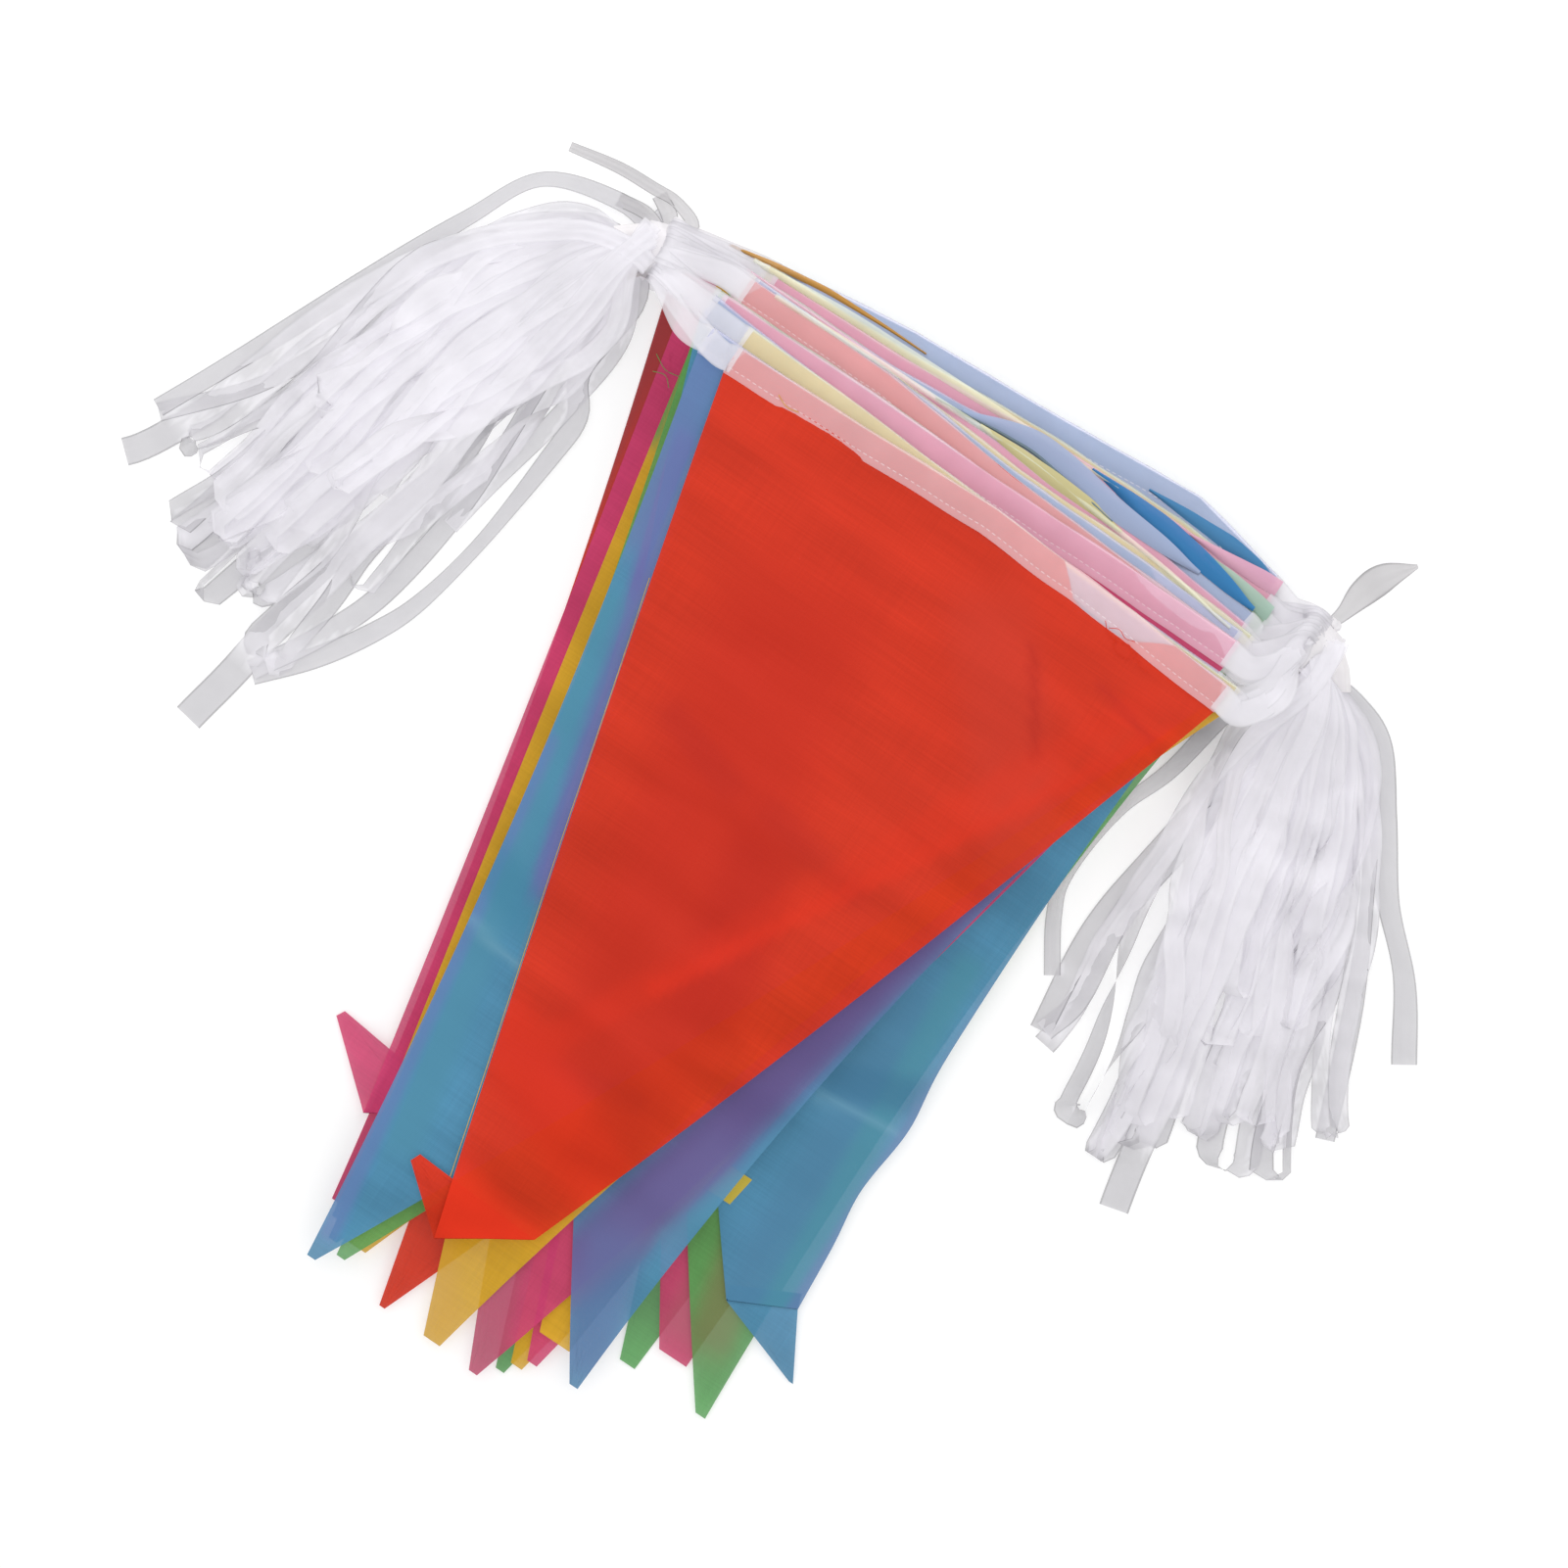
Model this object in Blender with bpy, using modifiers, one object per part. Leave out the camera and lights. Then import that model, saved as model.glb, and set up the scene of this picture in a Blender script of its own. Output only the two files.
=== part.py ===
"""Fabric pennant bunting, bundled and laid flat.

Twenty sheer triangular pennants lie on one another.  A folded tape is sewn over each top edge,
and the bare tape between the pennants is gathered at both sides, tied and left in two tassels.

Frame: X runs along the header from the left knot to the right one, the tips point to -Y and
Z is up.  The origin is the centre of the box of the whole bundle, on the surface it lies on.
Tables give millimetres in the plan of the laid bundle, with the middle of the front pennant's
header at 0, 0.  Every piece is laid on the pile that is already there, from the surface up.
"""

import math

import bmesh
import bpy
import numpy as np
from mathutils import Vector

# ------------------------------------------------------------------ driving sizes, millimetres
MM = 0.001                # one millimetre in the scene's metres
CLOTH = 1.0               # thickness of a pennant or of the tape
AIR = 0.40                # air between two layers
PITCH = CLOTH + AIR
SEAM = 0.3                # gap between the pieces that are sewn edge to edge
JOIN = 2e-6               # points of one sheet nearer than this, in metres, are one point
ON_LINE = 0.003           # points nearer than this to a fold lie on it
TAPE = 8.6                # width of the folded tape
DROOP = 0.40              # steepest fall of a layer from the ones below it
CLEAR = 2.0               # how far a layer clears the edges below it
BELOW_HEADER = -20.0      # above this line every layer is level
COLUMN = 12.5             # columns of the laying grid
COLUMNS = [-125.0 + COLUMN * i for i in range(20)]
LINES = (BELOW_HEADER, -60.0, -105.0, -150.0, -190.0, -220.0, -236.0, -250.0, -264.0, -278.0,
         -292.0, -306.0)  # rows of the laying grid
STATIONS = (-50.0, 0.0, 50.0)

# ------------------------------------------------------------------ colours of the finishes
COLOURS = {
    "red": (0.62, 0.03, 0.015),
    "blue": (0.06, 0.17, 0.42),
    "yellow": (0.72, 0.47, 0.02),
    "magenta": (0.58, 0.03, 0.14),
    "green": (0.06, 0.36, 0.09),
    "tape": (0.80, 0.79, 0.82),
}
TINT = 0.55               # share of white in a binding over its pennant's colour

# ------------------------------------------------------------------ the pennants, front to back
# name, colour, top left corner, top right corner, height of the top edge in plan at the three
# STATIONS, tip centre, tip width, inward bow of the left side and of the right side,
# fold: share of the left side and of the right side above the fold, and where the tip lies that
# is turned aside there, or None where it is turned under
PENNANTS = (
    ("front_red", "red", (-92, 0), (90, -2.5), (1.0, 3.2, 0.6), (-8.5, -294), 6, -1.5, -3,
     (0.918, 0.859, None)),
    ("left_blue", "blue", (-102, 0.5), (87, -2), (0.0, 1.6, -0.5), (-45.5, -296), 3, 5, -4, None),
    ("blunt_yellow", "yellow", (-93, 7), (93, -1), (5.8, 2.9, 0.4), (-0.5, -297), 6, -8, 8, None),
    ("right_blue", "blue", (-107, 9), (86, 0), (5.0, 2.2, 0.2), (43.5, -284), 3, -11, 8, None),
    ("mid_magenta", "magenta", (-105, 11), (85, 10.5), (11.4, 10.8, 11.2), (15.5, -298), 3, -7, -4.5,
     None),
    ("left_green", "green", (-108, 11.5), (86, 9), (12.0, 10.4, 10.0), (-38, -291), 3, 5, -4, None),
    ("mid_red", "red", (-101, 20), (85, 11), (19.4, 14.6, 12.0), (-19, -297), 2, 0, -4, None),
    ("under_blue", "blue", (-100, 21), (84, 14), (20.0, 16.0, 15.4), (-43, -288), 3, 0, 0, None),
    ("square_yellow", "yellow", (-102, 21), (88, 15), (20.6, 17.4, 17.4), (31, -276), 11, 2, 8, None),
    ("low_magenta", "magenta", (-104, 22), (84, 17), (21.6, 20.6, 20.6), (29, -285.5), 3.5, 0, 0, None),
    ("right_fold_blue", "blue", (-100, 21), (84, 21), (22.0, 27.0, 26.0), (90.3, -262), 1.5, -13, 5.8,
     (0.908, 0.873, (98.5, -246))),
    ("right_green", "green", (-100, 22), (89, 24), (22.4, 24.0, 27.0), (81, -270), 3.5, -11, 6.5, None),
    ("strip_magenta", "magenta", (-96, 25), (86, 29), (26.0, 30.6, 31.4), (64, -260), 10, -8, 3, None),
    ("low_yellow", "yellow", (-100, 27), (84, 30), (28.6, 32.0, 32.6), (25.5, -289), 4, 0, 0, None),
    ("back_blue", "blue", (-97, 29), (84, 35), (35.0, 38.0, 42.0), (-46, -282), 3, 2, 0, None),
    ("small_green", "green", (-105, 25), (83, 30), (31.0, 34.0, 37.0), (53.5, -269.5), 5.5, 10, 3, None),
    ("end_green", "green", (-106, 24), (82, 29), (30.0, 33.0, 36.0), (22, -293), 3, 0, 0, None),
    ("left_yellow", "yellow", (-110, 24), (81, 28), (31.0, 34.0, 35.0), (-38, -286), 11, -0.8, 0, None),
    ("fold_magenta", "magenta", (-117, 20), (80, 27), (30.0, 33.0, 34.0), (-49.3, -281), 3, 1, 0,
     (0.899, 0.845, None)),
    ("back_red", "red", (-121, 11), (78, 26), (29.0, 32.0, 33.0), (-49, -278), 3, 5, 0, None),
)
FIELDS = ("name", "colour", "left", "right", "mids", "tip", "tip_width", "left_bow", "right_bow",
          "fold")

# ------------------------------------------------------------------ the gathered heads
# sections of each head: x, y, lowest point, height, half width
HEADS = {
    "left": ((-122.8, 20.0, 0.02, 28.2, 9.0), (-125.0, 20.1, 0.1, 26.0, 9.0),
             (-127.2, 19.9, 1.6, 17.0, 8.2), (-131.4, 19.2, 1.6, 15.5, 7.8),
             (-135.2, 17.0, 0.1, 13.5, 8.4), (-143.0, 9.6, 0.02, 9.0, 9.6)),
    "right": ((96.3, 29.8, 0.02, 28.2, 9.5), (99.2, 30.3, 0.1, 26.0, 9.5),
              (101.8, 30.4, 1.6, 17.0, 8.8), (106.4, 30.0, 1.6, 15.5, 8.4),
              (111.0, 28.0, 0.1, 13.5, 8.2), (117.8, 17.6, 0.02, 9.0, 9.6)),
}
HEAD_SIDES = 14
HEAD_SQUARE = 0.62                  # 1 is an oval section, less is a squarer one
NECK = (2, 3)                       # the two sections between which the tie lies
LEAD_ROOT = {"left": (-124.8, 20.0), "right": (98.8, 30.0)}
LEAD_LANES = (-3.0, 3.0, 0.0)       # offsets of the roots across the head, taken in turn
ROOT_WIDTH = 4.6                    # width of a gathered strip at its root
LEAD_WIDTH = 0.8                    # share of the tape's width half way to the root

# ------------------------------------------------------------------ the loops of bare tape
LOOP_ROOT = {"left": (-136.5, 15.5), "right": (112.5, 24.0)}
LANES = {"left": (-188.0, 15.75), "right": (-12.0, -13.0)}  # angle of lane 0 and from lane to lane
LANE_FILL = 0.65                    # share of a lane that a strand may fill
RADII = (7.0, 18.0, 34.0, 54.0, 78.0, 104.0, 132.0, 162.0, 200.0)   # rows of every strand
END_ROW = 4.0                       # least distance from the last of those rows to the end
# side, end, lane of the lower leg and of the upper leg, width
LOOPS = (
    ("left", (-229, -106), 0.0, 0.0, 5.0),
    ("left", (-217, -110), 1.0, 1.0, 7.0),
    ("left", (-208, -133), 2.0, 2.0, 8.6),
    ("left", (-199, -139), 3.0, 3.0, 8.6),
    ("left", (-188, -147), 4.0, 4.0, 8.6),
    ("left", (-176, -137), 5.0, 5.0, 8.6),
    ("left", (-161, -157), 6.0, 6.0, 8.0),
    ("left", (-152, -147), 7.0, 8.0, 6.0),
    ("left", (-195, -128), 2.6, 3.4, 8.6),
    ("left", (-181, -128), 4.5, 5.4, 8.6),
    ("right", (197, -93), 1.0, 1.0, 6.0),
    ("right", (187, -111), 2.0, 2.0, 8.6),
    ("right", (173, -117), 3.0, 3.0, 8.6),
    ("right", (160, -113), 4.0, 4.0, 8.6),
    ("right", (148, -124), 5.0, 5.0, 8.6),
    ("right", (137, -136), 6.0, 6.0, 8.6),
    ("right", (124, -129), 7.0, 7.0, 8.6),
    ("right", (98, -97), 9.0, 9.0, 6.6),
    ("right", (181, -104), 2.4, 1.7, 8.6),
    ("right", (143, -128), 5.4, 4.5, 8.6),
)
# side, end of the tape, lane, width
TAPE_ENDS = (
    ("left", (-232, -123), 1.6, 8.6),
    ("left", (-170, -180), 6.0, 8.6),
    ("right", (199, -59), 0.0, 6.0),
    ("right", (151, -146), 5.0, 9.4),
    ("right", (105, -116), 8.0, 7.5),
)

# ------------------------------------------------------------------ the ties
# centre of each side's knot: x, y and height, and its radius
KNOTS = {"left": (-130.5, 31.7, 10.5, 3.6), "right": (106.1, 42.5, 10.5, 3.6)}
# side, points of a free end: x, y, height of the underside, half width
TIE_ENDS = (
    ("left", ((-129.5, 32.5, 10, 1.8), (-128.5, 35.5, 7, 1.9), (-137, 36.2, 2.5, 2.0),
              (-153, 35.2, 0, 1.9), (-170, 32, 0, 1.5))),
    ("left", ((-131.5, 31.7, 9.5, 1.6), (-140, 29.7, 3, 2.0), (-150, 27.4, 0, 2.2))),
    ("right", ((106.2, 43.3, 10, 1.8), (106.8, 48, 5, 2.4), (108.5, 54, 0, 4.0), (111, 62, 0, 4.2),
               (118, 70.5, 0, 0.8))),
)
KNOT_SIDES, KNOT_RINGS = 10, 6
TIE_CLEAR = 0.35                    # air between a neck and its tie
TIE_SHARES = (0.12, 0.88)           # where the band lies between the two sections of the neck


# ------------------------------------------------------------------ small helpers
def lerp(a, b, t):
    """Point at share t between a and b."""
    return np.asarray(a, float) * (1 - t) + np.asarray(b, float) * t


def unit(v):
    """Unit vector along v."""
    v = np.asarray(v, float)
    return v / max(np.linalg.norm(v), 1e-9)


def left_of(v):
    """Vector turned a quarter to the left in plan."""
    return np.array((-v[1], v[0]))


def bow(t):
    """0 at both ends of a line and 1 in its middle."""
    return 4 * t * (1 - t)


def mirror_over(points, a, b):
    """Plan points reflected over the line from a to b."""
    along = unit(np.subtract(b, a))
    off = np.asarray(points, float) - a
    return a + 2 * (off @ along)[..., None] * along - off


# ------------------------------------------------------------------ a pennant in plan
def top_edge(row, x):
    """Plan height of a pennant's top edge at x, run on straight past its corners."""
    xs, ys = (row["left"][0], *STATIONS, row["right"][0]), (row["left"][1], *row["mids"], row["right"][1])
    if x < xs[0]:
        return ys[0] + (x - xs[0]) * (ys[1] - ys[0]) / (xs[1] - xs[0])
    if x > xs[-1]:
        return ys[-1] + (x - xs[-1]) * (ys[-1] - ys[-2]) / (xs[-1] - xs[-2])
    return float(np.interp(x, xs, ys))


def side_x(row, side, y):
    """Where the left or the right side of a pennant crosses a line of the laying grid."""
    inward = 1 if side == "left" else -1
    corner, tip = row[side], (row["tip"][0] - inward * row["tip_width"] / 2, row["tip"][1])
    t = (corner[1] - y) / (corner[1] - tip[1])
    return corner[0] + (tip[0] - corner[0]) * t + inward * row[side + "_bow"] * bow(min(t, 1.0))


def middle_point(row, y):
    """Point half way between the two sides at y."""
    return (side_x(row, "left", y) + side_x(row, "right", y)) / 2, y


def side_point(row, side, share):
    """Point at a share of the way down a side."""
    y = row[side][1] + (row["tip"][1] - row[side][1]) * share
    return np.array((side_x(row, side, y), y))


# ------------------------------------------------------------------ the laying grid
class Grid:
    """Heights at the crossings of COLUMNS and LINES of everything that lies there already."""

    def __init__(self):
        self.x, self.y = np.meshgrid(COLUMNS, LINES, indexing="ij")
        self.top = np.zeros(self.x.shape)

    def heights(self):
        """Undersides at the crossings of a soft sheet laid on top."""
        at = np.stack((self.x.ravel(), self.y.ravel()), axis=1)
        apart = np.linalg.norm(at[:, None] - at[None], axis=2)
        return (self.top.ravel()[None] - DROOP * apart).max(axis=1).reshape(self.top.shape)

    def add(self, inside, height):
        """Raise the corners of each triangle of the grid that the sheet touches."""
        step = CLEAR
        xs = np.arange(COLUMNS[0] + step / 2, COLUMNS[-1], step)
        ys = np.arange(LINES[-1] + step / 2, LINES[0], step)
        px, py = (a.ravel() for a in np.meshgrid(xs, ys, indexing="ij"))
        keep = inside(px, py)
        px, py = px[keep], py[keep]
        i = ((px - COLUMNS[0]) // COLUMN).astype(int)
        j = len(LINES) - 1 - np.searchsorted(LINES[::-1], py)
        across = (px - np.take(COLUMNS, i)) / COLUMN
        down = (np.take(LINES, j) - py) / (np.take(LINES, j) - np.take(LINES, j + 1))
        touched = np.zeros(self.top.shape, bool)
        lower = down >= across
        touched[i, j] = touched[i + 1, j + 1] = True
        touched[i[lower], j[lower] + 1] = True
        touched[i[~lower] + 1, j[~lower]] = True
        touched[:, 0] = True
        self.top[touched] = np.maximum(self.top, height + PITCH)[touched]


def strip_mesh(bm, upper, lower):
    """Triangles between two rows of points, split on the diagonal that the grid uses."""
    a = [bm.verts.new(np.multiply(p, MM)) for p in upper]
    b = [bm.verts.new(np.multiply(p, MM)) for p in lower]
    for c in range(len(a) - 1):
        bm.faces.new((a[c], b[c], b[c + 1]))
        bm.faces.new((a[c], b[c + 1], a[c + 1]))


def trim(bm, a, b, keep):
    """Cut the sheet along the plan line from a to b and keep the part on the side of keep."""
    across = left_of(unit(np.subtract(b, a)))
    if np.dot(across, np.subtract(keep, a)) > 0:
        across = -across
    bmesh.ops.bisect_plane(bm, geom=bm.verts[:] + bm.edges[:] + bm.faces[:], dist=1e-7,
                           plane_co=(a[0] * MM, a[1] * MM, 0), plane_no=(*across, 0),
                           clear_outer=True)


def cut_pennant(row, height, level):
    """The lying part of a pennant, cut from the laying grid, as an open mesh."""
    whole = bmesh.new()
    rise = height + CLOTH / 2
    edges = [[(x, top_edge(row, x) - SEAM, level + CLOTH / 2) for x in COLUMNS]]
    for j, y in enumerate(LINES):
        edges.append([(x, y, rise[i, j]) for i, x in enumerate(COLUMNS)])
    tip_y = row["tip"][1]
    for upper, lower in zip(edges, edges[1:]):
        y0, y1 = upper[0][1], lower[0][1]
        if upper is edges[0]:
            y0 = None
        elif y0 <= tip_y:
            break
        bm = bmesh.new()
        strip_mesh(bm, upper, lower)
        for side in ("left", "right"):
            start = row[side] if y0 is None else (side_x(row, side, y0), y0)
            y_end = max(y1, tip_y)
            end = (side_x(row, side, y_end), y_end)
            trim(bm, start, end, middle_point(row, y_end))
        if y1 < tip_y:
            trim(bm, (-1, tip_y), (1, tip_y), (0, 0))
        part = bpy.data.meshes.new("strip")
        bm.to_mesh(part)
        bm.free()
        whole.from_mesh(part)
        bpy.data.meshes.remove(part)
    bmesh.ops.remove_doubles(whole, verts=whole.verts[:], dist=JOIN)
    return whole


def fold_line(row):
    """Ends of the fold and the two corners of the tip that is turned over it."""
    *shares, aside = row["fold"]
    a, b = (side_point(row, side, share) for side, share in zip(("left", "right"), shares))
    half = np.array((row["tip_width"] / 2, 0))
    if aside is not None:
        return a, b, np.array((aside - half, aside + half))
    return a, b, mirror_over(np.array((row["tip"] - half, row["tip"] + half)), a, b)


def cut_flap(row, height):
    """The turned tip, cut from the laying grid."""
    a, b, (tip_a, tip_b) = fold_line(row)
    bm = bmesh.new()
    rise = height + CLOTH / 2
    rows = [[(x, y, rise[i, j]) for i, x in enumerate(COLUMNS)] for j, y in enumerate(LINES)]
    for upper, lower in zip(rows, rows[1:]):
        strip_mesh(bm, upper, lower)
    bmesh.ops.remove_doubles(bm, verts=bm.verts[:], dist=JOIN)
    middle = (a + b + tip_a + tip_b) / 4
    for p, q in ((a, b), (a, tip_a), (b, tip_b), (tip_a, tip_b)):
        trim(bm, p, q, middle)
    return bm


def join_fold(main, flap, a, b, outward):
    """Turn the sheet under itself along the fold."""
    mesh = bpy.data.meshes.new("flap")
    flap.to_mesh(mesh)
    flap.free()
    old = set(main.verts)
    main.from_mesh(mesh)
    along = unit(b - a)

    def on_fold(verts):
        """The vertices on the fold, in order along it."""
        found = []
        for v in verts:
            off = np.array(v.co[:2]) / MM - a
            if abs(off @ left_of(along)) < ON_LINE:
                found.append((off @ along, v))
        return [v for _, v in sorted(found, key=lambda pair: pair[0])]

    upper = on_fold([v for v in main.verts if v in old])
    lower = on_fold([v for v in main.verts if v not in old])
    push = Vector((*outward, 0)) * (PITCH / 2 * MM)
    turn = [main.verts.new((u.co + w.co) / 2 + push) for u, w in zip(upper, lower)]
    for first, second in ((upper, turn), (turn, lower)):
        for c in range(len(turn) - 1):
            main.faces.new((first[c], second[c], second[c + 1], first[c + 1]))
    bmesh.ops.recalc_face_normals(main, faces=main.faces[:])
    return main


def join_aside(main, flap):
    """Join a tip that lies beside the rest of its pennant."""
    mesh = bpy.data.meshes.new("tip")
    flap.to_mesh(mesh)
    flap.free()
    main.from_mesh(mesh)
    bpy.data.meshes.remove(mesh)
    bmesh.ops.remove_doubles(main, verts=main.verts[:], dist=JOIN)


# ------------------------------------------------------------------ strips of tape in plan
def strip_rows(path, widths):
    """Rows of two plan points along a strip of tape."""
    path = np.asarray(path, float)
    rows = []
    for i, point in enumerate(path):
        ahead = path[min(i + 1, len(path) - 1)] - path[max(i - 1, 0)]
        across = left_of(unit(ahead)) * widths[i] / 2
        rows.append((point + across, point - across))
    return np.array(rows)


def lead_rows(side, row, lane):
    """Rows of the bare tape from the end of a binding into the head."""
    corner = np.array((row[side][0], top_edge(row, row[side][0])))
    away = np.array((-SEAM if side == "left" else SEAM, 0.0))
    low, high = corner + away, corner + away + (0, TAPE)
    root = np.array(LEAD_ROOT[side]) + (0, lane)
    middle = (low + high) / 2
    rows = strip_rows([middle, lerp(middle, root, 0.5), root], (TAPE, TAPE * LEAD_WIDTH, ROOT_WIDTH))
    rows[0] = (low, high) if side == "left" else (high, low)
    return rows


# ------------------------------------------------------------------ the pile of loops
class Fan:
    """Strands that leave one head, each laid on those that it crosses."""

    def __init__(self, side):
        self.centre = np.array(LOOP_ROOT[side])
        self.zero, self.step = np.radians(LANES[side])
        self.laid = []

    def angles(self, end, lane, width):
        """Angles of the two edges of a strand at each of the RADII, and how far it reaches."""
        way = np.subtract(end, self.centre)
        reach, last = np.hypot(*way), math.atan2(way[1], way[0])
        first = self.zero + lane * self.step
        edges = []
        for r in RADII:
            t = min(max((r - RADII[1]) / (reach - RADII[1]), 0.0), 1.0)
            mid = last + (first - last) * (1 - t) ** 2
            half = min(width, abs(self.step) * r * LANE_FILL) / 2 / r
            edges.append((mid - half, mid + half))
        return np.array(edges), reach

    def lay(self, end, lane, width):
        """Lay a strand and give its rows, from the root to the end."""
        edges, reach = self.angles(end, lane, width)
        level = np.zeros(len(RADII))
        for other, other_reach, other_level in self.laid:
            for i in range(len(RADII) - 1):
                if RADII[i] > min(reach, other_reach) + CLEAR:
                    break
                margin = SEAM / np.array(RADII[i:i + 2])
                pair, rival = edges[i:i + 2], other[i:i + 2]
                beside = ((pair[:, 0] > rival[:, 1] + margin).all()
                          or (pair[:, 1] < rival[:, 0] - margin).all())
                if not beside:
                    level[i:i + 2] = np.maximum(level[i:i + 2], other_level[i:i + 2] + PITCH)
        self.laid.append((edges, reach, level))
        self.smooth(level)
        return self.rows(edges, level, reach)

    @staticmethod
    def smooth(level):
        """A strand comes down no steeper than the cloth droops."""
        for i in range(1, len(RADII)):
            level[i] = max(level[i], level[i - 1] - DROOP * (RADII[i] - RADII[i - 1]))
        for i in range(len(RADII) - 2, -1, -1):
            level[i] = max(level[i], level[i + 1] - DROOP * (RADII[i + 1] - RADII[i]))

    def rows(self, edges, level, reach):
        """Rows of two points of x, y and height, in the middle of the tape."""
        out = []
        radii = [r for r in RADII if r < reach - END_ROW] + [reach]
        for r in radii:
            low, high = (np.interp(r, RADII, edges[:, k]) for k in (0, 1))
            z = np.interp(r, RADII, level) + CLOTH / 2
            out.append([(self.centre[0] + r * math.cos(a), self.centre[1] + r * math.sin(a), z)
                        for a in (high, low)])
        return np.array(out)


def loop_rows(fan, end, lower_lane, upper_lane, width):
    """A loop: the lower leg, the turn at its end and the upper leg."""
    low = fan.lay(end, lower_lane, width)
    high = fan.lay(end, upper_lane, width)
    high[-1][:, :2] = low[-1][:, :2]
    turn = (high[-1] + low[-1]) / 2
    turn[:, :2] += unit(low[-1].mean(axis=0)[:2] - fan.centre) * PITCH / 2
    return np.concatenate((high, turn[None], low[::-1]))


def lay_strands(side):
    """All loops and loose ends of one side."""
    fan = Fan(side)
    strands = [loop_rows(fan, end, lower, upper, width)
               for where, end, lower, upper, width in LOOPS if where == side]
    strands += [fan.lay(end, lane, width) for where, end, lane, width in TAPE_ENDS if where == side]
    print(side, "strands", len(strands), "pile up to",
          round(max(level.max() for _, _, level in fan.laid) + CLOTH, 1), "mm")
    return strands


# ------------------------------------------------------------------ meshes and objects
ORIGIN = bpy.data.objects.new("bunting_origin", None)


def finish(name, colour):
    """A matt cloth finish."""
    material = bpy.data.materials.new(name + "_cloth")
    material.use_nodes = True
    shader = material.node_tree.nodes["Principled BSDF"]
    shader.inputs["Base Color"].default_value = (*colour, 1.0)
    shader.inputs["Roughness"].default_value = 0.8
    shader.inputs["Metallic"].default_value = 0.0
    material.diffuse_color = (*colour, 1.0)
    return material


def new_object(name, bm, collection, material=None):
    """A mesh as an object under the bundle's origin."""
    mesh = bpy.data.meshes.new(name)
    bm.to_mesh(mesh)
    bm.free()
    obj = bpy.data.objects.new(name, mesh)
    collection.objects.link(obj)
    obj.parent = ORIGIN
    if material is not None:
        mesh.materials.append(material)
    return obj


def loft(grids, closed=False):
    """One mesh of quads from grids of rows of points, each row closed on itself if asked."""
    bm = bmesh.new()
    for grid in grids:
        verts = [[bm.verts.new(np.multiply(p, MM)) for p in line] for line in grid]
        for upper, lower in zip(verts, verts[1:]):
            if closed:
                upper, lower = upper + upper[:1], lower + lower[:1]
            for c in range(len(upper) - 1):
                bm.faces.new((upper[c], lower[c], lower[c + 1], upper[c + 1]))
        if closed == "capped":
            bm.faces.new(verts[0])
            bm.faces.new(verts[-1][::-1])
    bmesh.ops.recalc_face_normals(bm, faces=bm.faces[:])
    return bm


def thicken(obj):
    """Give an open sheet the thickness of the cloth, half on each side."""
    solidify = obj.modifiers.new("cloth", "SOLIDIFY")
    solidify.thickness = CLOTH * MM
    solidify.offset = 0.0
    return obj


def fuse(obj, other):
    """Join another solid to this one; the other stays hidden among the shaping solids."""
    other.hide_render = True
    other.display_type = "WIRE"
    union = obj.modifiers.new("fused", "BOOLEAN")
    union.operation = "UNION"
    union.solver = "EXACT"
    union.object = other


# ------------------------------------------------------------------ heads and ties
def head_sections(side, grow=0.0, only=None):
    """Sections of a head across its line, each grown by the same amount."""
    table = HEADS[side]
    middles = np.array([(x, y) for x, y, *_ in table])
    rows = []
    for k, (x, y, low, tall, half) in enumerate(table):
        if only is not None and k not in only:
            continue
        ahead = unit(middles[min(k + 1, len(table) - 1)] - middles[max(k - 1, 0)])
        across = left_of(ahead)
        ring = []
        for s in range(HEAD_SIDES):
            turn = 2 * math.pi * s / HEAD_SIDES
            c, z = (math.copysign(abs(v) ** HEAD_SQUARE, v) for v in (math.cos(turn), math.sin(turn)))
            wide, high = (half + grow) * c, (tall / 2 + grow) * z
            ring.append((x + across[0] * wide, y + across[1] * wide, low + tall / 2 + high))
        rows.append(ring)
    return rows


def make_head(side, collection):
    """The gathered tape: a lump that narrows where it is tied."""
    return new_object(side + "_tassel", loft([head_sections(side)], closed="capped"), collection,
                      finish(side + "_tassel", COLOURS["tape"]))


def make_tie(side, bundle, shapers):
    """The turns of the tie round the neck, its knot and its free ends."""
    ring = head_sections(side, grow=TIE_CLEAR + CLOTH / 2, only=NECK)
    band = [lerp(ring[0], ring[1], share) for share in TIE_SHARES]
    tie = thicken(new_object(side + "_tie", loft([band], closed=True), bundle,
                             finish(side + "_tie", COLOURS["tape"])))
    x, y, z, radius = KNOTS[side]
    knot = bmesh.new()
    bmesh.ops.create_uvsphere(knot, u_segments=KNOT_SIDES, v_segments=KNOT_RINGS, radius=radius * MM)
    bmesh.ops.translate(knot, verts=knot.verts[:], vec=Vector((x, y, z)) * MM)
    fuse(tie, new_object(side + "_knot", knot, shapers))
    ends = []
    for where, points in TIE_ENDS:
        if where != side:
            continue
        points = np.array(points, float)
        plan = strip_rows(points[:, :2], points[:, 3] * 2)
        rise = np.repeat(points[:, 2:3, None] + CLOTH / 2, 2, axis=1)
        ends.append(np.concatenate((plan, rise), axis=2))
    fuse(tie, thicken(new_object(side + "_tie_ends", loft(ends), shapers)))


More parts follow.
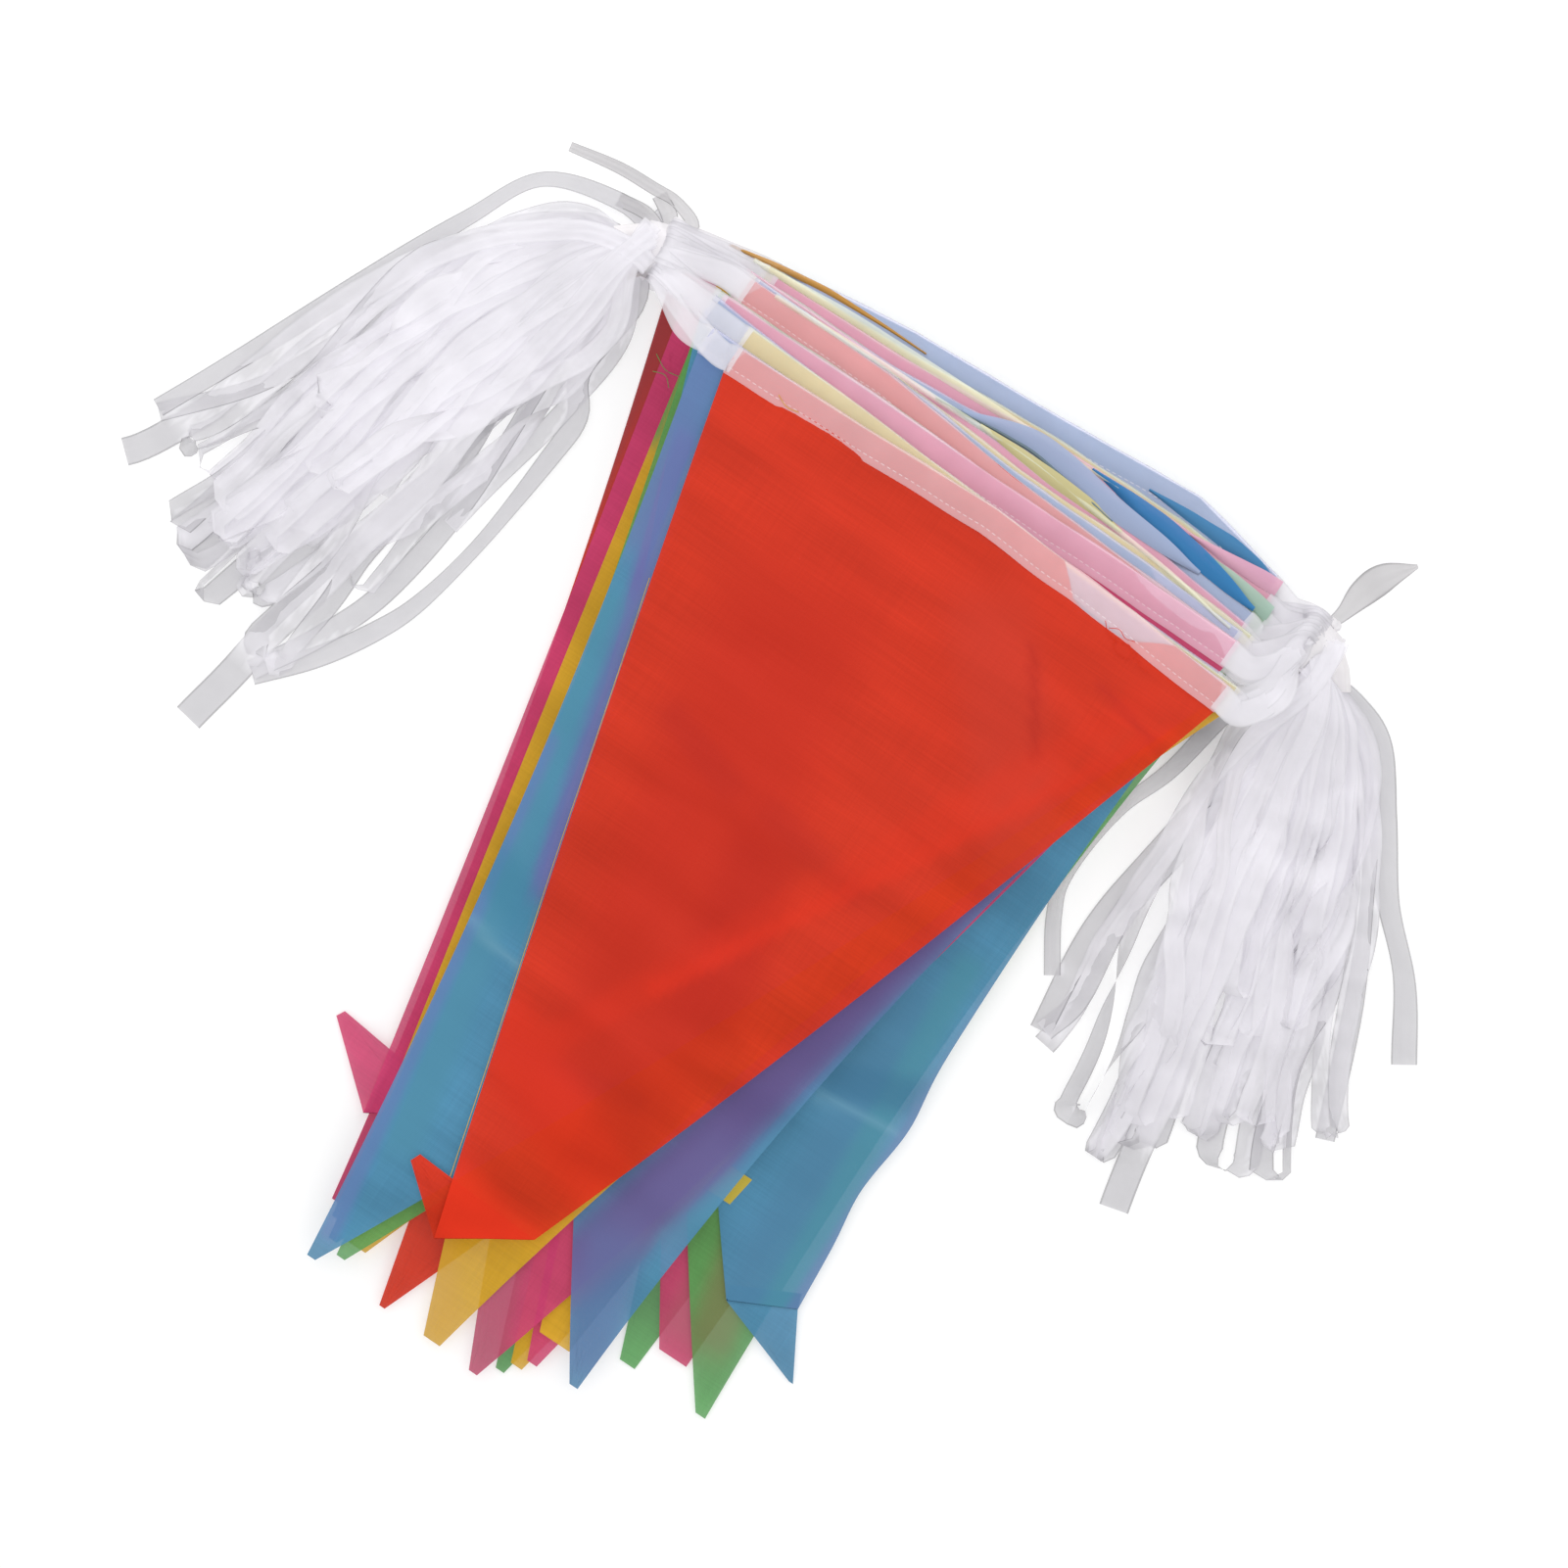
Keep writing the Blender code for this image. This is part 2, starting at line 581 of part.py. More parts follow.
# ------------------------------------------------------------------ the whole bundle
def lay_pennant(grid, row, level, bundle):
    """Lay a pennant and its binding as one layer."""
    under = row["fold"] and row["fold"][2] is None
    if row["fold"]:
        a, b, tips = fold_line(row)
        corners = np.array((a, tips[0], tips[1], b))
        middle = corners.mean(axis=0)

        def in_flap(x, y):
            """True where the turned tip lies, with its clearance."""
            ok = np.ones(len(x), bool)
            for p, q in zip(corners, np.roll(corners, -1, axis=0)):
                n = left_of(unit(q - p))
                side = np.sign(n @ (middle - p))
                ok &= side * ((x - p[0]) * n[0] + (y - p[1]) * n[1]) > -CLEAR
            return ok

    if under:
        height = grid.heights()
        flap = cut_flap(row, height)
        grid.add(in_flap, height)
    height = grid.heights()
    height[:, 0] = level
    cloth = cut_pennant(row, height, level)
    if row["fold"]:
        trim(cloth, a, b, (0.0, 0.0))
    if under:
        outward = left_of(unit(b - a))
        if outward @ (row["tip"] - a) < 0:
            outward = -outward
        join_fold(cloth, flap, a, b, outward)
    elif row["fold"]:
        join_aside(cloth, cut_flap(row, height))
        grid.add(in_flap, height)

    def in_pennant(x, y):
        """True where the lying part is, with its clearance."""
        left = np.interp(-y, [-v for v in LINES], [side_x(row, "left", v) for v in LINES])
        right = np.interp(-y, [-v for v in LINES], [side_x(row, "right", v) for v in LINES])
        return (x > left - CLEAR) & (x < right + CLEAR) & (y > row["tip"][1] - CLEAR)

    grid.add(in_pennant, height)
    thicken(new_object("pennant_" + row["name"], cloth, bundle,
                       finish(row["name"], COLOURS[row["colour"]])))
    stations = (row["left"][0], *STATIONS, row["right"][0])
    middle = level + CLOTH / 2
    binding = [[(x, top_edge(row, x) + rise, middle) for x in stations] for rise in (TAPE, 0.0)]
    pale = tuple(c + (1 - c) * TINT for c in COLOURS[row["colour"]])
    thicken(new_object("binding_" + row["name"], loft([binding]), bundle,
                       finish("binding_" + row["name"], pale)))


def build():
    """Lay the bundle from the surface up and make its solids."""
    for obj in list(bpy.data.objects):
        if obj is not ORIGIN:
            bpy.data.objects.remove(obj)
    bundle = bpy.data.collections.new("bunting")
    shapers = bpy.data.collections.new("shapers")
    bpy.context.scene.collection.children.link(bundle)
    bpy.context.scene.collection.children.link(shapers)
    bundle.objects.link(ORIGIN)

    strands = {side: lay_strands(side) for side in ("left", "right")}
    grid = Grid()
    for number in reversed(range(len(PENNANTS))):
        row = dict(zip(FIELDS, PENNANTS[number]))
        level = (len(PENNANTS) - 1 - number) * PITCH
        lay_pennant(grid, row, level, bundle)
        for side in ("left", "right"):
            plan = lead_rows(side, row, LEAD_LANES[number % len(LEAD_LANES)])
            rise = np.full((len(plan), 2, 1), level + CLOTH / 2)
            strands[side].append(np.concatenate((plan, rise), axis=2))
    for side in ("left", "right"):
        head = make_head(side, bundle)
        fuse(head, thicken(new_object(side + "_strands", loft(strands[side]), shapers)))
        make_tie(side, bundle, shapers)
    settle(bundle)


def settle(bundle):
    """Put the origin at the centre of the bundle's box, on the surface."""
    bpy.context.view_layer.update()
    depsgraph = bpy.context.evaluated_depsgraph_get()
    low, high = np.full(3, np.inf), np.full(3, -np.inf)
    for obj in bundle.objects:
        if obj.type != "MESH":
            continue
        shape = obj.evaluated_get(depsgraph)
        points = np.array([shape.matrix_world @ v.co for v in shape.data.vertices])
        low, high = np.minimum(low, points.min(axis=0)), np.maximum(high, points.max(axis=0))
    ORIGIN.location = (-(low[0] + high[0]) / 2, -(low[1] + high[1]) / 2, -low[2])
    print("bundle size", np.round((high - low) / MM, 1), "mm, moved by", np.round(ORIGIN.location, 5))


build()
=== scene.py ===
# %% [markdown]
# # A bundle of fabric bunting
# The real object is a garland: sheer cloth pennants sewn one after another to a folded white
# tape.  Here it is packed up: the pennants lie in a pile, their headers on top of one another,
# and the tape between them is gathered at both sides, tied at a neck and left in loops.
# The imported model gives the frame.  Every piece below lies where its solid lies.

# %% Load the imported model
import math

import bmesh
import bpy
import numpy as np
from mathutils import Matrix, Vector, noise
from mathutils.bvhtree import BVHTree


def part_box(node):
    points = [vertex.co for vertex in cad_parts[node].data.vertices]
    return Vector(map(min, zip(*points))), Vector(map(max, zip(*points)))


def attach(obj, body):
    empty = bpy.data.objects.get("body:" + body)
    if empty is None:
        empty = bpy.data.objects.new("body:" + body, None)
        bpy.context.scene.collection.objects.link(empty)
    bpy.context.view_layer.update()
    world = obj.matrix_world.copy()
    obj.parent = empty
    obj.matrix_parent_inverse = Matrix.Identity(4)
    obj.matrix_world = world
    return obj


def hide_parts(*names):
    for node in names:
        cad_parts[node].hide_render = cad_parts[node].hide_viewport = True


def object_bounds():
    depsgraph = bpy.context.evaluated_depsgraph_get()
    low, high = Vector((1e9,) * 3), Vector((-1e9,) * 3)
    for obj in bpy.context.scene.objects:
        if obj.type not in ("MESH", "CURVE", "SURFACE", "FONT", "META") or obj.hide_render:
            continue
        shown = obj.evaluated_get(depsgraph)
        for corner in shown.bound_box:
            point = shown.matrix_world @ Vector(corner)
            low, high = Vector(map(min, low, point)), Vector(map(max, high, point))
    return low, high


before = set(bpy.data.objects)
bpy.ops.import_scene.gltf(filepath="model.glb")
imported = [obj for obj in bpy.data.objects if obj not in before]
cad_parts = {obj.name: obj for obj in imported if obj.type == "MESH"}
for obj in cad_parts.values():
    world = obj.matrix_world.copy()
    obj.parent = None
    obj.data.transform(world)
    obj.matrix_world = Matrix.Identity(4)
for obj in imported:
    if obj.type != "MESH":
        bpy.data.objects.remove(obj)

MM = 0.001
cad_low, cad_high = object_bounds()
print("solids:", len(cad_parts), "box in mm:", [round(s / MM, 1) for s in cad_high - cad_low])

# %% [markdown]
# ## Layout sizes
# A sewer would lay the bundle out on squared paper, so the tables below are in millimetres with
# the middle of the front pennant's header at 0, 0.  Two corners of solids whose layout places
# are known say how far that paper is shifted from the frame's own origin.

# %% From layout millimetres to the frame
BACK_CORNER_X = -121.0        # left corner of the lowest pennant
LOWEST_TIP_Y = -298.0         # tip of the longest pennant
SHIFT = np.array((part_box("pennant_back_red")[0].x - BACK_CORNER_X * MM,
                  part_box("pennant_mid_magenta")[0].y - LOWEST_TIP_Y * MM, 0.0))


def to_frame(points):
    """Layout millimetres as metres in the frame."""
    return np.asarray(points, float) * MM + SHIFT


print("layout shifted by", np.round(SHIFT / MM, 2), "mm")

# %% [markdown]
# ## Camera
# The bundle was photographed from straight above and a little turned.  A long lens high above
# it keeps the pile free of perspective, as in the picture.  The turn is put on the camera,
# so that the model itself stays square to its frame.

# %% Make the camera
CAMERA_ROLL = math.radians(34)
CAMERA_HEIGHT = 2.4
SENSOR = 36.0
PIXELS, PIXEL = 1601, 0.30                # pixels across the picture, and what one spans, in mm
PICTURE_WIDTH = PIXELS * PIXEL * MM       # what the picture spans on the pile
PICTURE_CENTRE = (-6.4, -94.3, 14.0)      # layout millimetres, at half the pile's height

camera = bpy.data.objects.new("camera", bpy.data.cameras.new("camera"))
camera.data.sensor_width = SENSOR
camera.data.lens = SENSOR * CAMERA_HEIGHT / PICTURE_WIDTH
camera.location = Vector(to_frame(PICTURE_CENTRE)) + Vector((0, 0, CAMERA_HEIGHT))
camera.rotation_euler = (0, 0, CAMERA_ROLL)
camera.data.clip_end = 20
bpy.context.scene.collection.objects.link(camera)
bpy.context.scene.camera = camera
bpy.context.scene.view_settings.view_transform = "Standard"
print("lens", round(camera.data.lens), "mm")

# %% [markdown]
# ## Finishes
# A finish is a material whose shader is fed by a few nodes.  The helper below makes a node, puts
# values or links on its sockets and hands back its outputs, so that each finish reads like a
# recipe.

# %% A material and its nodes
class Finish:
    """A material with short ways to its nodes."""

    def __init__(self, name, **on_shader):
        self.material = bpy.data.materials.new(name)
        self.material.use_nodes = True
        self.tree = self.material.node_tree
        self.shader = self.tree.nodes["Principled BSDF"]
        self.feed(self.shader, on_shader)

    def feed(self, node, inputs):
        """Put values or other nodes' outputs on a node's sockets."""
        for key, value in inputs.items():
            socket = node.inputs[key.replace("_", " ") if isinstance(key, str) else key]
            if isinstance(value, bpy.types.NodeSocket):
                self.tree.links.new(value, socket)
            else:
                socket.default_value = value

    def node(self, kind, inputs, **settings):
        """The outputs of a new node."""
        node = self.tree.nodes.new("ShaderNode" + kind)
        for name, value in settings.items():
            setattr(node, name, value)
        self.feed(node, inputs)
        return node.outputs

    def place(self, which):
        """A point's place on the object, or on its strip."""
        return self.node("TexCoord", {})[which]

    def clouds(self, scale, low, high, detail=2.0):
        """Soft noise from low to high.  Its grain is one metre divided by a scale on each axis."""
        mapped = self.node("Mapping", {"Vector": self.place("Object"), "Scale": scale})["Vector"]
        cloud = self.node("TexNoise", {"Vector": mapped, "Scale": 1.0, "Detail": detail})["Fac"]
        return self.spread(cloud, low, high, 0.3, 0.7)

    def spread(self, value, low, high, start=0.0, end=1.0):
        """A value from start to end turned into one from low to high."""
        return self.node("MapRange", {"Value": value, "From Min": start, "From Max": end,
                                      "To Min": low, "To Max": high})["Result"]

    def times(self, first, *others):
        """Values multiplied together."""
        for other in others:
            first = self.node("Math", {0: first, 1: other}, operation="MULTIPLY")["Value"]
        return first

    def scaled(self, colour, factor):
        """A colour, brightened or darkened by a factor."""
        return self.node("VectorMath", {0: colour, "Scale": factor}, operation="SCALE")["Vector"]

    def weave(self, pitch, strength):
        """Crossed threads as a bump."""
        scale = math.pi / 10 / (pitch * MM)     # at scale 1 a wave is pi / 10 metres long
        threads = [self.node("TexWave", {"Vector": self.place("Object"), "Scale": scale,
                                         "Distortion": 1.2, "Detail Scale": 0.3},
                             bands_direction=direction)["Fac"] for direction in ("X", "Y")]
        return self.node("Bump", {"Strength": strength, "Distance": 0.05 * MM,
                                  "Height": self.times(*threads)})["Normal"]

# %% [markdown]
# ## Floor and light
# Sheer cloth looks best in soft light that comes from all round, as in a light tent.  A pale
# sky gives most of it, and one large lamp from the upper left shows the folds.

# %% Make the floor and the lights
FLOOR_SIZE = 6.0
FLOOR_DROP = 0.0004           # how far the floor lies below the bundle
SKY = 0.78
LAMP_POWER = 27.0
LAMP_SIZE = 1.4
LAMP_PLACE = (-0.5, 1.15, 1.75)


def finished_mesh(bm, name, finish):
    """A mesh with one material from what has been built."""
    mesh = bpy.data.meshes.new(name)
    bm.to_mesh(mesh)
    bm.free()
    mesh.materials.append(finish.material)
    return mesh


def make_floor():
    """A plain pale sheet of board under the bundle."""
    board = Finish("white_board", Base_Color=(0.93, 0.93, 0.93, 1), Roughness=0.9)
    bm = bmesh.new()
    bmesh.ops.create_grid(bm, x_segments=1, y_segments=1, size=FLOOR_SIZE / 2)
    floor = bpy.data.objects.new("floor", finished_mesh(bm, "floor", board))
    floor.location.z = cad_low.z - FLOOR_DROP
    bpy.context.scene.collection.objects.link(floor)


def make_lights():
    """A pale sky all round and a large soft lamp."""
    sky = bpy.data.worlds.new("sky")
    sky.use_nodes = True
    sky.node_tree.nodes["Background"].inputs["Color"].default_value = (1, 1, 1, 1)
    sky.node_tree.nodes["Background"].inputs["Strength"].default_value = SKY
    bpy.context.scene.world = sky
    lamp = bpy.data.objects.new("lamp", bpy.data.lights.new("lamp", "AREA"))
    lamp.data.energy = LAMP_POWER
    lamp.data.size = LAMP_SIZE
    lamp.location = LAMP_PLACE
    lamp.rotation_euler = (-Vector(LAMP_PLACE)).to_track_quat("-Z", "Y").to_euler()
    bpy.context.scene.collection.objects.link(lamp)


make_floor()
make_lights()

# %% [markdown]
# ## The cloth
# The pennants are a cheap plain weave of thin dyed yarn.  It is sheer, so a little of what lies
# below shows through, and its yarn is uneven, which draws faint streaks along both directions.
# Streaks come from noise that is stretched along one axis, and fine crossed waves make the
# weave's bump.  The sheerness is one number on the shader's own socket.  Where another colour
# lies right below, the cloth is tinted by it.  Along some creases and near one header the same
# tint also carries painted shade and painted highlights.  Each pennant's points carry that tint
# and its share.

# %% Cloth finish
YARN = 0.45                   # pitch of the weave in millimetres


def cloth_finish(name, colour, sheer):
    """Dyed sheer plain weave.  sheer is the share of what lies below that shows through."""
    finish = Finish(name, Roughness=0.75, Specular_IOR_Level=0.08, Alpha=1 - sheer)
    streaks = finish.times(finish.clouds((13, 48, 1), 0.86, 1.10),
                           finish.clouds((30, 1500, 1), 0.95, 1.05, 3),
                           finish.clouds((1500, 30, 1), 0.97, 1.03, 3))
    # the attribute below holds the colour that shows through from under the cloth, and also painted shade
    # and painted highlights
    tint = finish.node("Attribute", {}, attribute_name="below")
    mixed = finish.node("Mix", {"Factor": tint["Alpha"], 6: finish.scaled(colour, streaks),
                                7: tint["Color"]}, data_type="RGBA")
    finish.feed(finish.shader, {"Base Color": mixed[2], "Normal": finish.weave(YARN, 0.25)})
    finish.material.diffuse_color = (*colour, 1)
    return finish


# colour, and the share of what lies below that shows through
DYES = {
    "red": ((0.56, 0.032, 0.010), 0.04),
    "blue": ((0.075, 0.235, 0.385), 0.08),
    "yellow": ((0.60, 0.345, 0.02), 0.10),
    "magenta": ((0.52, 0.048, 0.14), 0.10),
    "green": ((0.09, 0.30, 0.085), 0.12),
}
CLOTH = {dye: cloth_finish(dye + "_sheer_cloth", *facts) for dye, facts in DYES.items()}
print("cloth finishes:", ", ".join(CLOTH))

# %% [markdown]
# ## The tape
# The tape is thin white ribbon.  One layer on the table is greyish, because light is lost in
# it, and each further layer is whiter.  Along its two edges the colour is darkened into a thin
# line of painted shade, which fades in a thick pile.  So each mesh carries the number of layers
# below every point as an attribute, pile, from 0 to 1, and the strip's own coordinates tell the
# shader where the edges are: across the tape they run from 0 to 1.

# %% Tape finish
TAPE_WEAVE = 0.3              # pitch of the weave in millimetres


def tape_finish(name, white, sheer, thin, edges, edge_width=0.10):
    """Thin white ribbon.  thin is how much darker one layer is than a pile, edges how much
    the painted shade along the edges darkens a single layer and a pile."""
    finish = Finish(name, Roughness=0.6, Specular_IOR_Level=0.2, Alpha=1 - sheer)
    pile = finish.node("Attribute", {}, attribute_name="pile")["Fac"]
    across = finish.node("SeparateXYZ", {"Vector": finish.place("UV")})["X"]
    from_edge = finish.node("Math", {0: across, 1: 0.5}, operation="PINGPONG")["Value"]
    # painted shade: a darker line along both edges of the tape, fading in a thick pile
    painted_edge_shade = finish.node("Mix", {"Factor": finish.spread(from_edge, 0.0, 1.0, 0.0, edge_width),
                              "A": finish.spread(pile, *edges), "B": 1.0})["Result"]
    factor = finish.times(finish.spread(pile, thin, 1.0), finish.clouds((90, 90, 90), 0.96, 1.03), painted_edge_shade)
    finish.feed(finish.shader, {"Base Color": finish.scaled(white, factor),
                                "Normal": finish.weave(TAPE_WEAVE, 0.2)})
    finish.material.diffuse_color = (*white, 1)
    return finish


LOOP_TAPE = tape_finish("loop_tape", (0.755, 0.74, 0.78), sheer=0.38, thin=0.60,
                        edges=(0.22, 0.88), edge_width=0.08)
# light that has been through the dyed cloth inside tints the white tape over it
OVER = {"red": (0.90, 0.65, 0.68), "blue": (0.69, 0.70, 0.91), "yellow": (0.88, 0.90, 0.70),
        "magenta": (0.96, 0.65, 0.79), "green": (0.72, 0.86, 0.74)}
HEADER_TAPE = {dye: tape_finish("header_tape_over_" + dye, colour, sheer=0.58, thin=1.0,
                                edges=(0.93, 0.93), edge_width=0.03)
               for dye, colour in OVER.items()}
NECK_TAPE = tape_finish("neck_tape", (0.80, 0.775, 0.785), sheer=0.08, thin=0.9, edges=(0.9, 0.95))
TIE_TAPE = tape_finish("tie_tape", (0.78, 0.76, 0.78), sheer=0.25, thin=0.60, edges=(0.3, 0.97))
print("tape finishes:", 3 + len(HEADER_TAPE))

# %% [markdown]
# ## Sheets from rows of points
# Every piece of cloth here is a sheet: rows of points joined by quads.  One helper makes the
# mesh, gives it the strip's own coordinates, lets it ride on the model's body and says which
# solids it stands for.

# %% Sheet helpers
def uv_grid(across, along):
    """A strip's own coordinates, with one value for each column and one for each row."""
    return np.stack(np.meshgrid(across, along), axis=2)


def grid_mesh(name, grids, finish, uvs=None, piles=None):
    """One smooth mesh of quads from grids of rows of points in metres."""
    faces, coords, start = [], [], 0
    for k, grid in enumerate(grids):
        rows, cols = grid.shape[:2]
        i = np.arange(rows * cols).reshape(rows, cols)
        quads = np.stack((i[:-1, :-1], i[1:, :-1], i[1:, 1:], i[:-1, 1:]), axis=2).reshape(-1, 4)
        uv = uvs[k] if uvs else uv_grid(np.linspace(0, 1, cols), np.linspace(0, 1, rows))
        coords.append(uv.reshape(-1, 2)[quads].ravel())
        faces.append(quads + start)
        start += rows * cols
    mesh = bpy.data.meshes.new(name)
    mesh.from_pydata(np.concatenate([grid.reshape(-1, 3) for grid in grids]).tolist(), [],
                     np.concatenate(faces).tolist())
    layer = mesh.uv_layers.new(name="strip")
    layer.data.foreach_set("uv", np.concatenate(coords).astype(np.float32))
    if piles is not None:
        pile = mesh.attributes.new("pile", "FLOAT", "POINT")
        pile.data.foreach_set("value", np.concatenate([np.ravel(a) for a in piles]).astype(np.float32))
    mesh.polygons.foreach_set("use_smooth", [True] * len(mesh.polygons))
    mesh.materials.append(finish.material)
    mesh.update()
    return mesh


def tint_points(mesh, tints):
    """Tint and share at every point of a mesh, for the cloth finish, from one or many tints."""
    below = mesh.attributes.new("below", "FLOAT_COLOR", "POINT")
    below.data.foreach_set("color", np.resize(np.asarray(tints, np.float32), 4 * len(mesh.vertices)))


def add_piece(name, mesh, slot, *nodes, shadow=False):
    """Put a mesh in the scene on the model's body, in place of some solids."""
    piece = bpy.data.objects.new(name, mesh)
    bpy.context.scene.collection.objects.link(piece)
    piece.visible_shadow = shadow     # so thin a cloth lets most of the light through
    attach(piece, "root")
    if nodes:
        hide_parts(*nodes)
    return piece

# %% The skins of the solids
OVER_ALL, UNDER_ALL = 0.3, -0.1          # heights where a plumb line starts, in metres
HALF_PILE = 0.014


class Solid:
    """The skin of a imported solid, to lay a thin sheet along."""

    def __init__(self, node):
        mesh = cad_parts[node].data
        self.tree = BVHTree.FromPolygons([v.co for v in mesh.vertices],
                                         [p.vertices for p in mesh.polygons])

    def hit(self, x, y, from_below=False):
        """Where a plumb line through a place in the frame meets the solid, or None."""
        start, way = (UNDER_ALL, 1) if from_below else (OVER_ALL, -1)
        return self.tree.ray_cast(Vector((x, y, start)), Vector((0, 0, way)))[0]

    def height(self, x, y, from_below=False):
        """Height of the upper or the lower skin over a place in the frame, in metres."""
        point = self.hit(x, y, from_below)
        if point is None:
            near = self.tree.find_nearest(Vector((x, y, HALF_PILE)))[0]
            inside = near.x + 0.5 * (near.x - x), near.y + 0.5 * (near.y - y)
            point = self.hit(*inside, from_below) or near
        return point.z

# %% [markdown]
# ## The pennants
# Each pennant is a long triangle cut with a blunt tip.  The table gives its corners, the height
# of its top edge at three stations and its tip, all read off the layout, and how far each side
# bows inward.  Two tips are turned under along a fold and one is turned aside.  The sheet runs
# up into the folded tape, as sewn cloth does.

# %% Pennant table and plan
STATIONS = (-50.0, 0.0, 50.0)
PENNANTS = (
    ("front_red", "red", (-92, 0), (90, -2.5), (1.0, 3.2, 0.6), (-8.5, -294), 3.5, -1.5, -3),
    ("left_blue", "blue", (-102, 0.5), (87, -2), (0.0, 1.6, -0.5), (-45.5, -296), 3, 5, -4),
    ("blunt_yellow", "yellow", (-93, 7), (93, -1), (5.8, 2.9, 0.4), (-0.5, -297), 6, -8, 8),
    ("right_blue", "blue", (-107, 9), (86, 0), (5.0, 2.2, 0.2), (43.5, -284), 3, -11, 8),
    ("mid_magenta", "magenta", (-105, 11), (85, 10.5), (11.4, 10.8, 11.2), (15.5, -298), 3, -7, -4.5),
    ("left_green", "green", (-108, 11.5), (86, 9), (12.0, 10.4, 10.0), (-38, -291), 3, 5, -4),
    ("mid_red", "red", (-101, 20), (85, 11), (19.4, 14.6, 12.0), (-19, -297), 2, 0, -4),
    ("under_blue", "blue", (-100, 21), (84, 14), (20.0, 16.0, 15.4), (-43, -288), 3, 0, 0),
    ("square_yellow", "yellow", (-102, 21), (88, 15), (20.6, 17.4, 17.4), (31, -276), 11, 2, 8),
    ("low_magenta", "magenta", (-104, 22), (84, 17), (21.6, 20.6, 20.6), (29, -285.5), 3.5, 0, 0),
    ("right_fold_blue", "blue", (-100, 21), (84, 21), (22.0, 27.0, 26.0), (90.3, -262), 1.5, -13, 5.8),
    ("right_green", "green", (-100, 22), (89, 24), (22.4, 24.0, 27.0), (81, -270), 3.5, -11, 6.5),
    ("strip_magenta", "magenta", (-96, 25), (86, 29), (26.0, 30.6, 31.4), (64, -260), 10, -8, 3),
    ("low_yellow", "yellow", (-100, 27), (84, 30), (28.6, 32.0, 32.6), (25.5, -289), 4, 0, 0),
    ("back_blue", "blue", (-97, 29), (84, 35), (35.0, 38.0, 42.0), (-46, -282), 3, 2, 0),
    ("small_green", "green", (-105, 25), (83, 30), (31.0, 34.0, 37.0), (53.5, -269.5), 5.5, 10, 3),
    ("end_green", "green", (-106, 24), (82, 29), (30.0, 33.0, 36.0), (22, -293), 3, 0, 0),
    ("left_yellow", "yellow", (-110, 24), (81, 28), (31.0, 34.0, 35.0), (-38, -286), 11, -0.8, 0),
    ("fold_magenta", "magenta", (-117, 20), (80, 27), (30.0, 33.0, 34.0), (-49.3, -281), 3, 1, 0),
    ("back_red", "red", (-121, 11), (78, 26), (29.0, 32.0, 33.0), (-49, -278), 3, 5, 0),
)
# pennant and side, then share of the way down, its reach and how far the edge waves out there
EDGE_WAVES = {("right_fold_blue", "right"): ((0.64, 0.045, 1.9), (0.735, 0.04, -1.3))}
# shares of the way down both sides where a fold lies, and where a tip turned aside ends
FOLDS = {"front_red": (0.918, 0.859, None), "fold_magenta": (0.899, 0.845, None),
         "right_fold_blue": (0.908, 0.873, (98.5, -246))}
FIELDS = ("name", "colour", "left", "right", "mids", "tip", "tip_width", "left_bow", "right_bow")
ROWS = [dict(zip(FIELDS, row), fold=FOLDS.get(row[0])) for row in PENNANTS]


def top_edge(row, x):
    """Layout height of a pennant's top edge at x."""
    xs = (row["left"][0], *STATIONS, row["right"][0])
    ys = (row["left"][1], *row["mids"], row["right"][1])
    return np.interp(x, xs, ys)


def side_points(row, side, shares):
    """Points at shares of the way down the left or the right side."""
    inward = 1 if side == "left" else -1
    corner = np.array(row[side], float)
    tip = np.array((row["tip"][0] - inward * row["tip_width"] / 2, row["tip"][1]))
    points = corner + (tip - corner) * shares[:, None]
    points[:, 0] += inward * row[side + "_bow"] * 4 * shares * (1 - shares)
    for where, reach, out in EDGE_WAVES.get((row["name"], side), ()):
        points[:, 0] -= inward * out * np.exp(-((shares - where) / reach) ** 2)
    return points


def panel(row, start, end, rows, cols):
    """Plan points of a pennant between two pairs of shares of its left and right sides."""
    t = np.linspace(0, 1, rows)
    left = side_points(row, "left", start[0] + (end[0] - start[0]) * t)
    right = side_points(row, "right", start[1] + (end[1] - start[1]) * t)
    s = np.linspace(0, 1, cols)[None, :, None]
    return left[:, None] * (1 - s) + right[:, None] * s


def mirror_over(points, a, b):
    """Plan points reflected over the line from a to b."""
    along = (b - a) / np.linalg.norm(b - a)
    off = points - a
    return a + 2 * (off @ along)[..., None] * along - off


def fold_line(row):
    """Ends of the fold and the two corners of the tip that is turned over it."""
    *shares, aside = row["fold"]
    a, b = (side_points(row, side, np.array((share,)))[0]
            for side, share in zip(("left", "right"), shares))
    half = np.array((row["tip_width"] / 2, 0))
    if aside is not None:
        return a, b, np.array((aside - half, aside + half))
    return a, b, mirror_over(np.array((row["tip"] - half, row["tip"] + half)), a, b)

# %% [markdown]
# ## Creases
# The pile has been folded for packing, so the same soft ridges run through all its layers, and
# slack cloth ripples across.  One height field does both.  It is shared by the whole pile and
# grows a little from the bottom layer to the top one, so no layer pokes through the next.

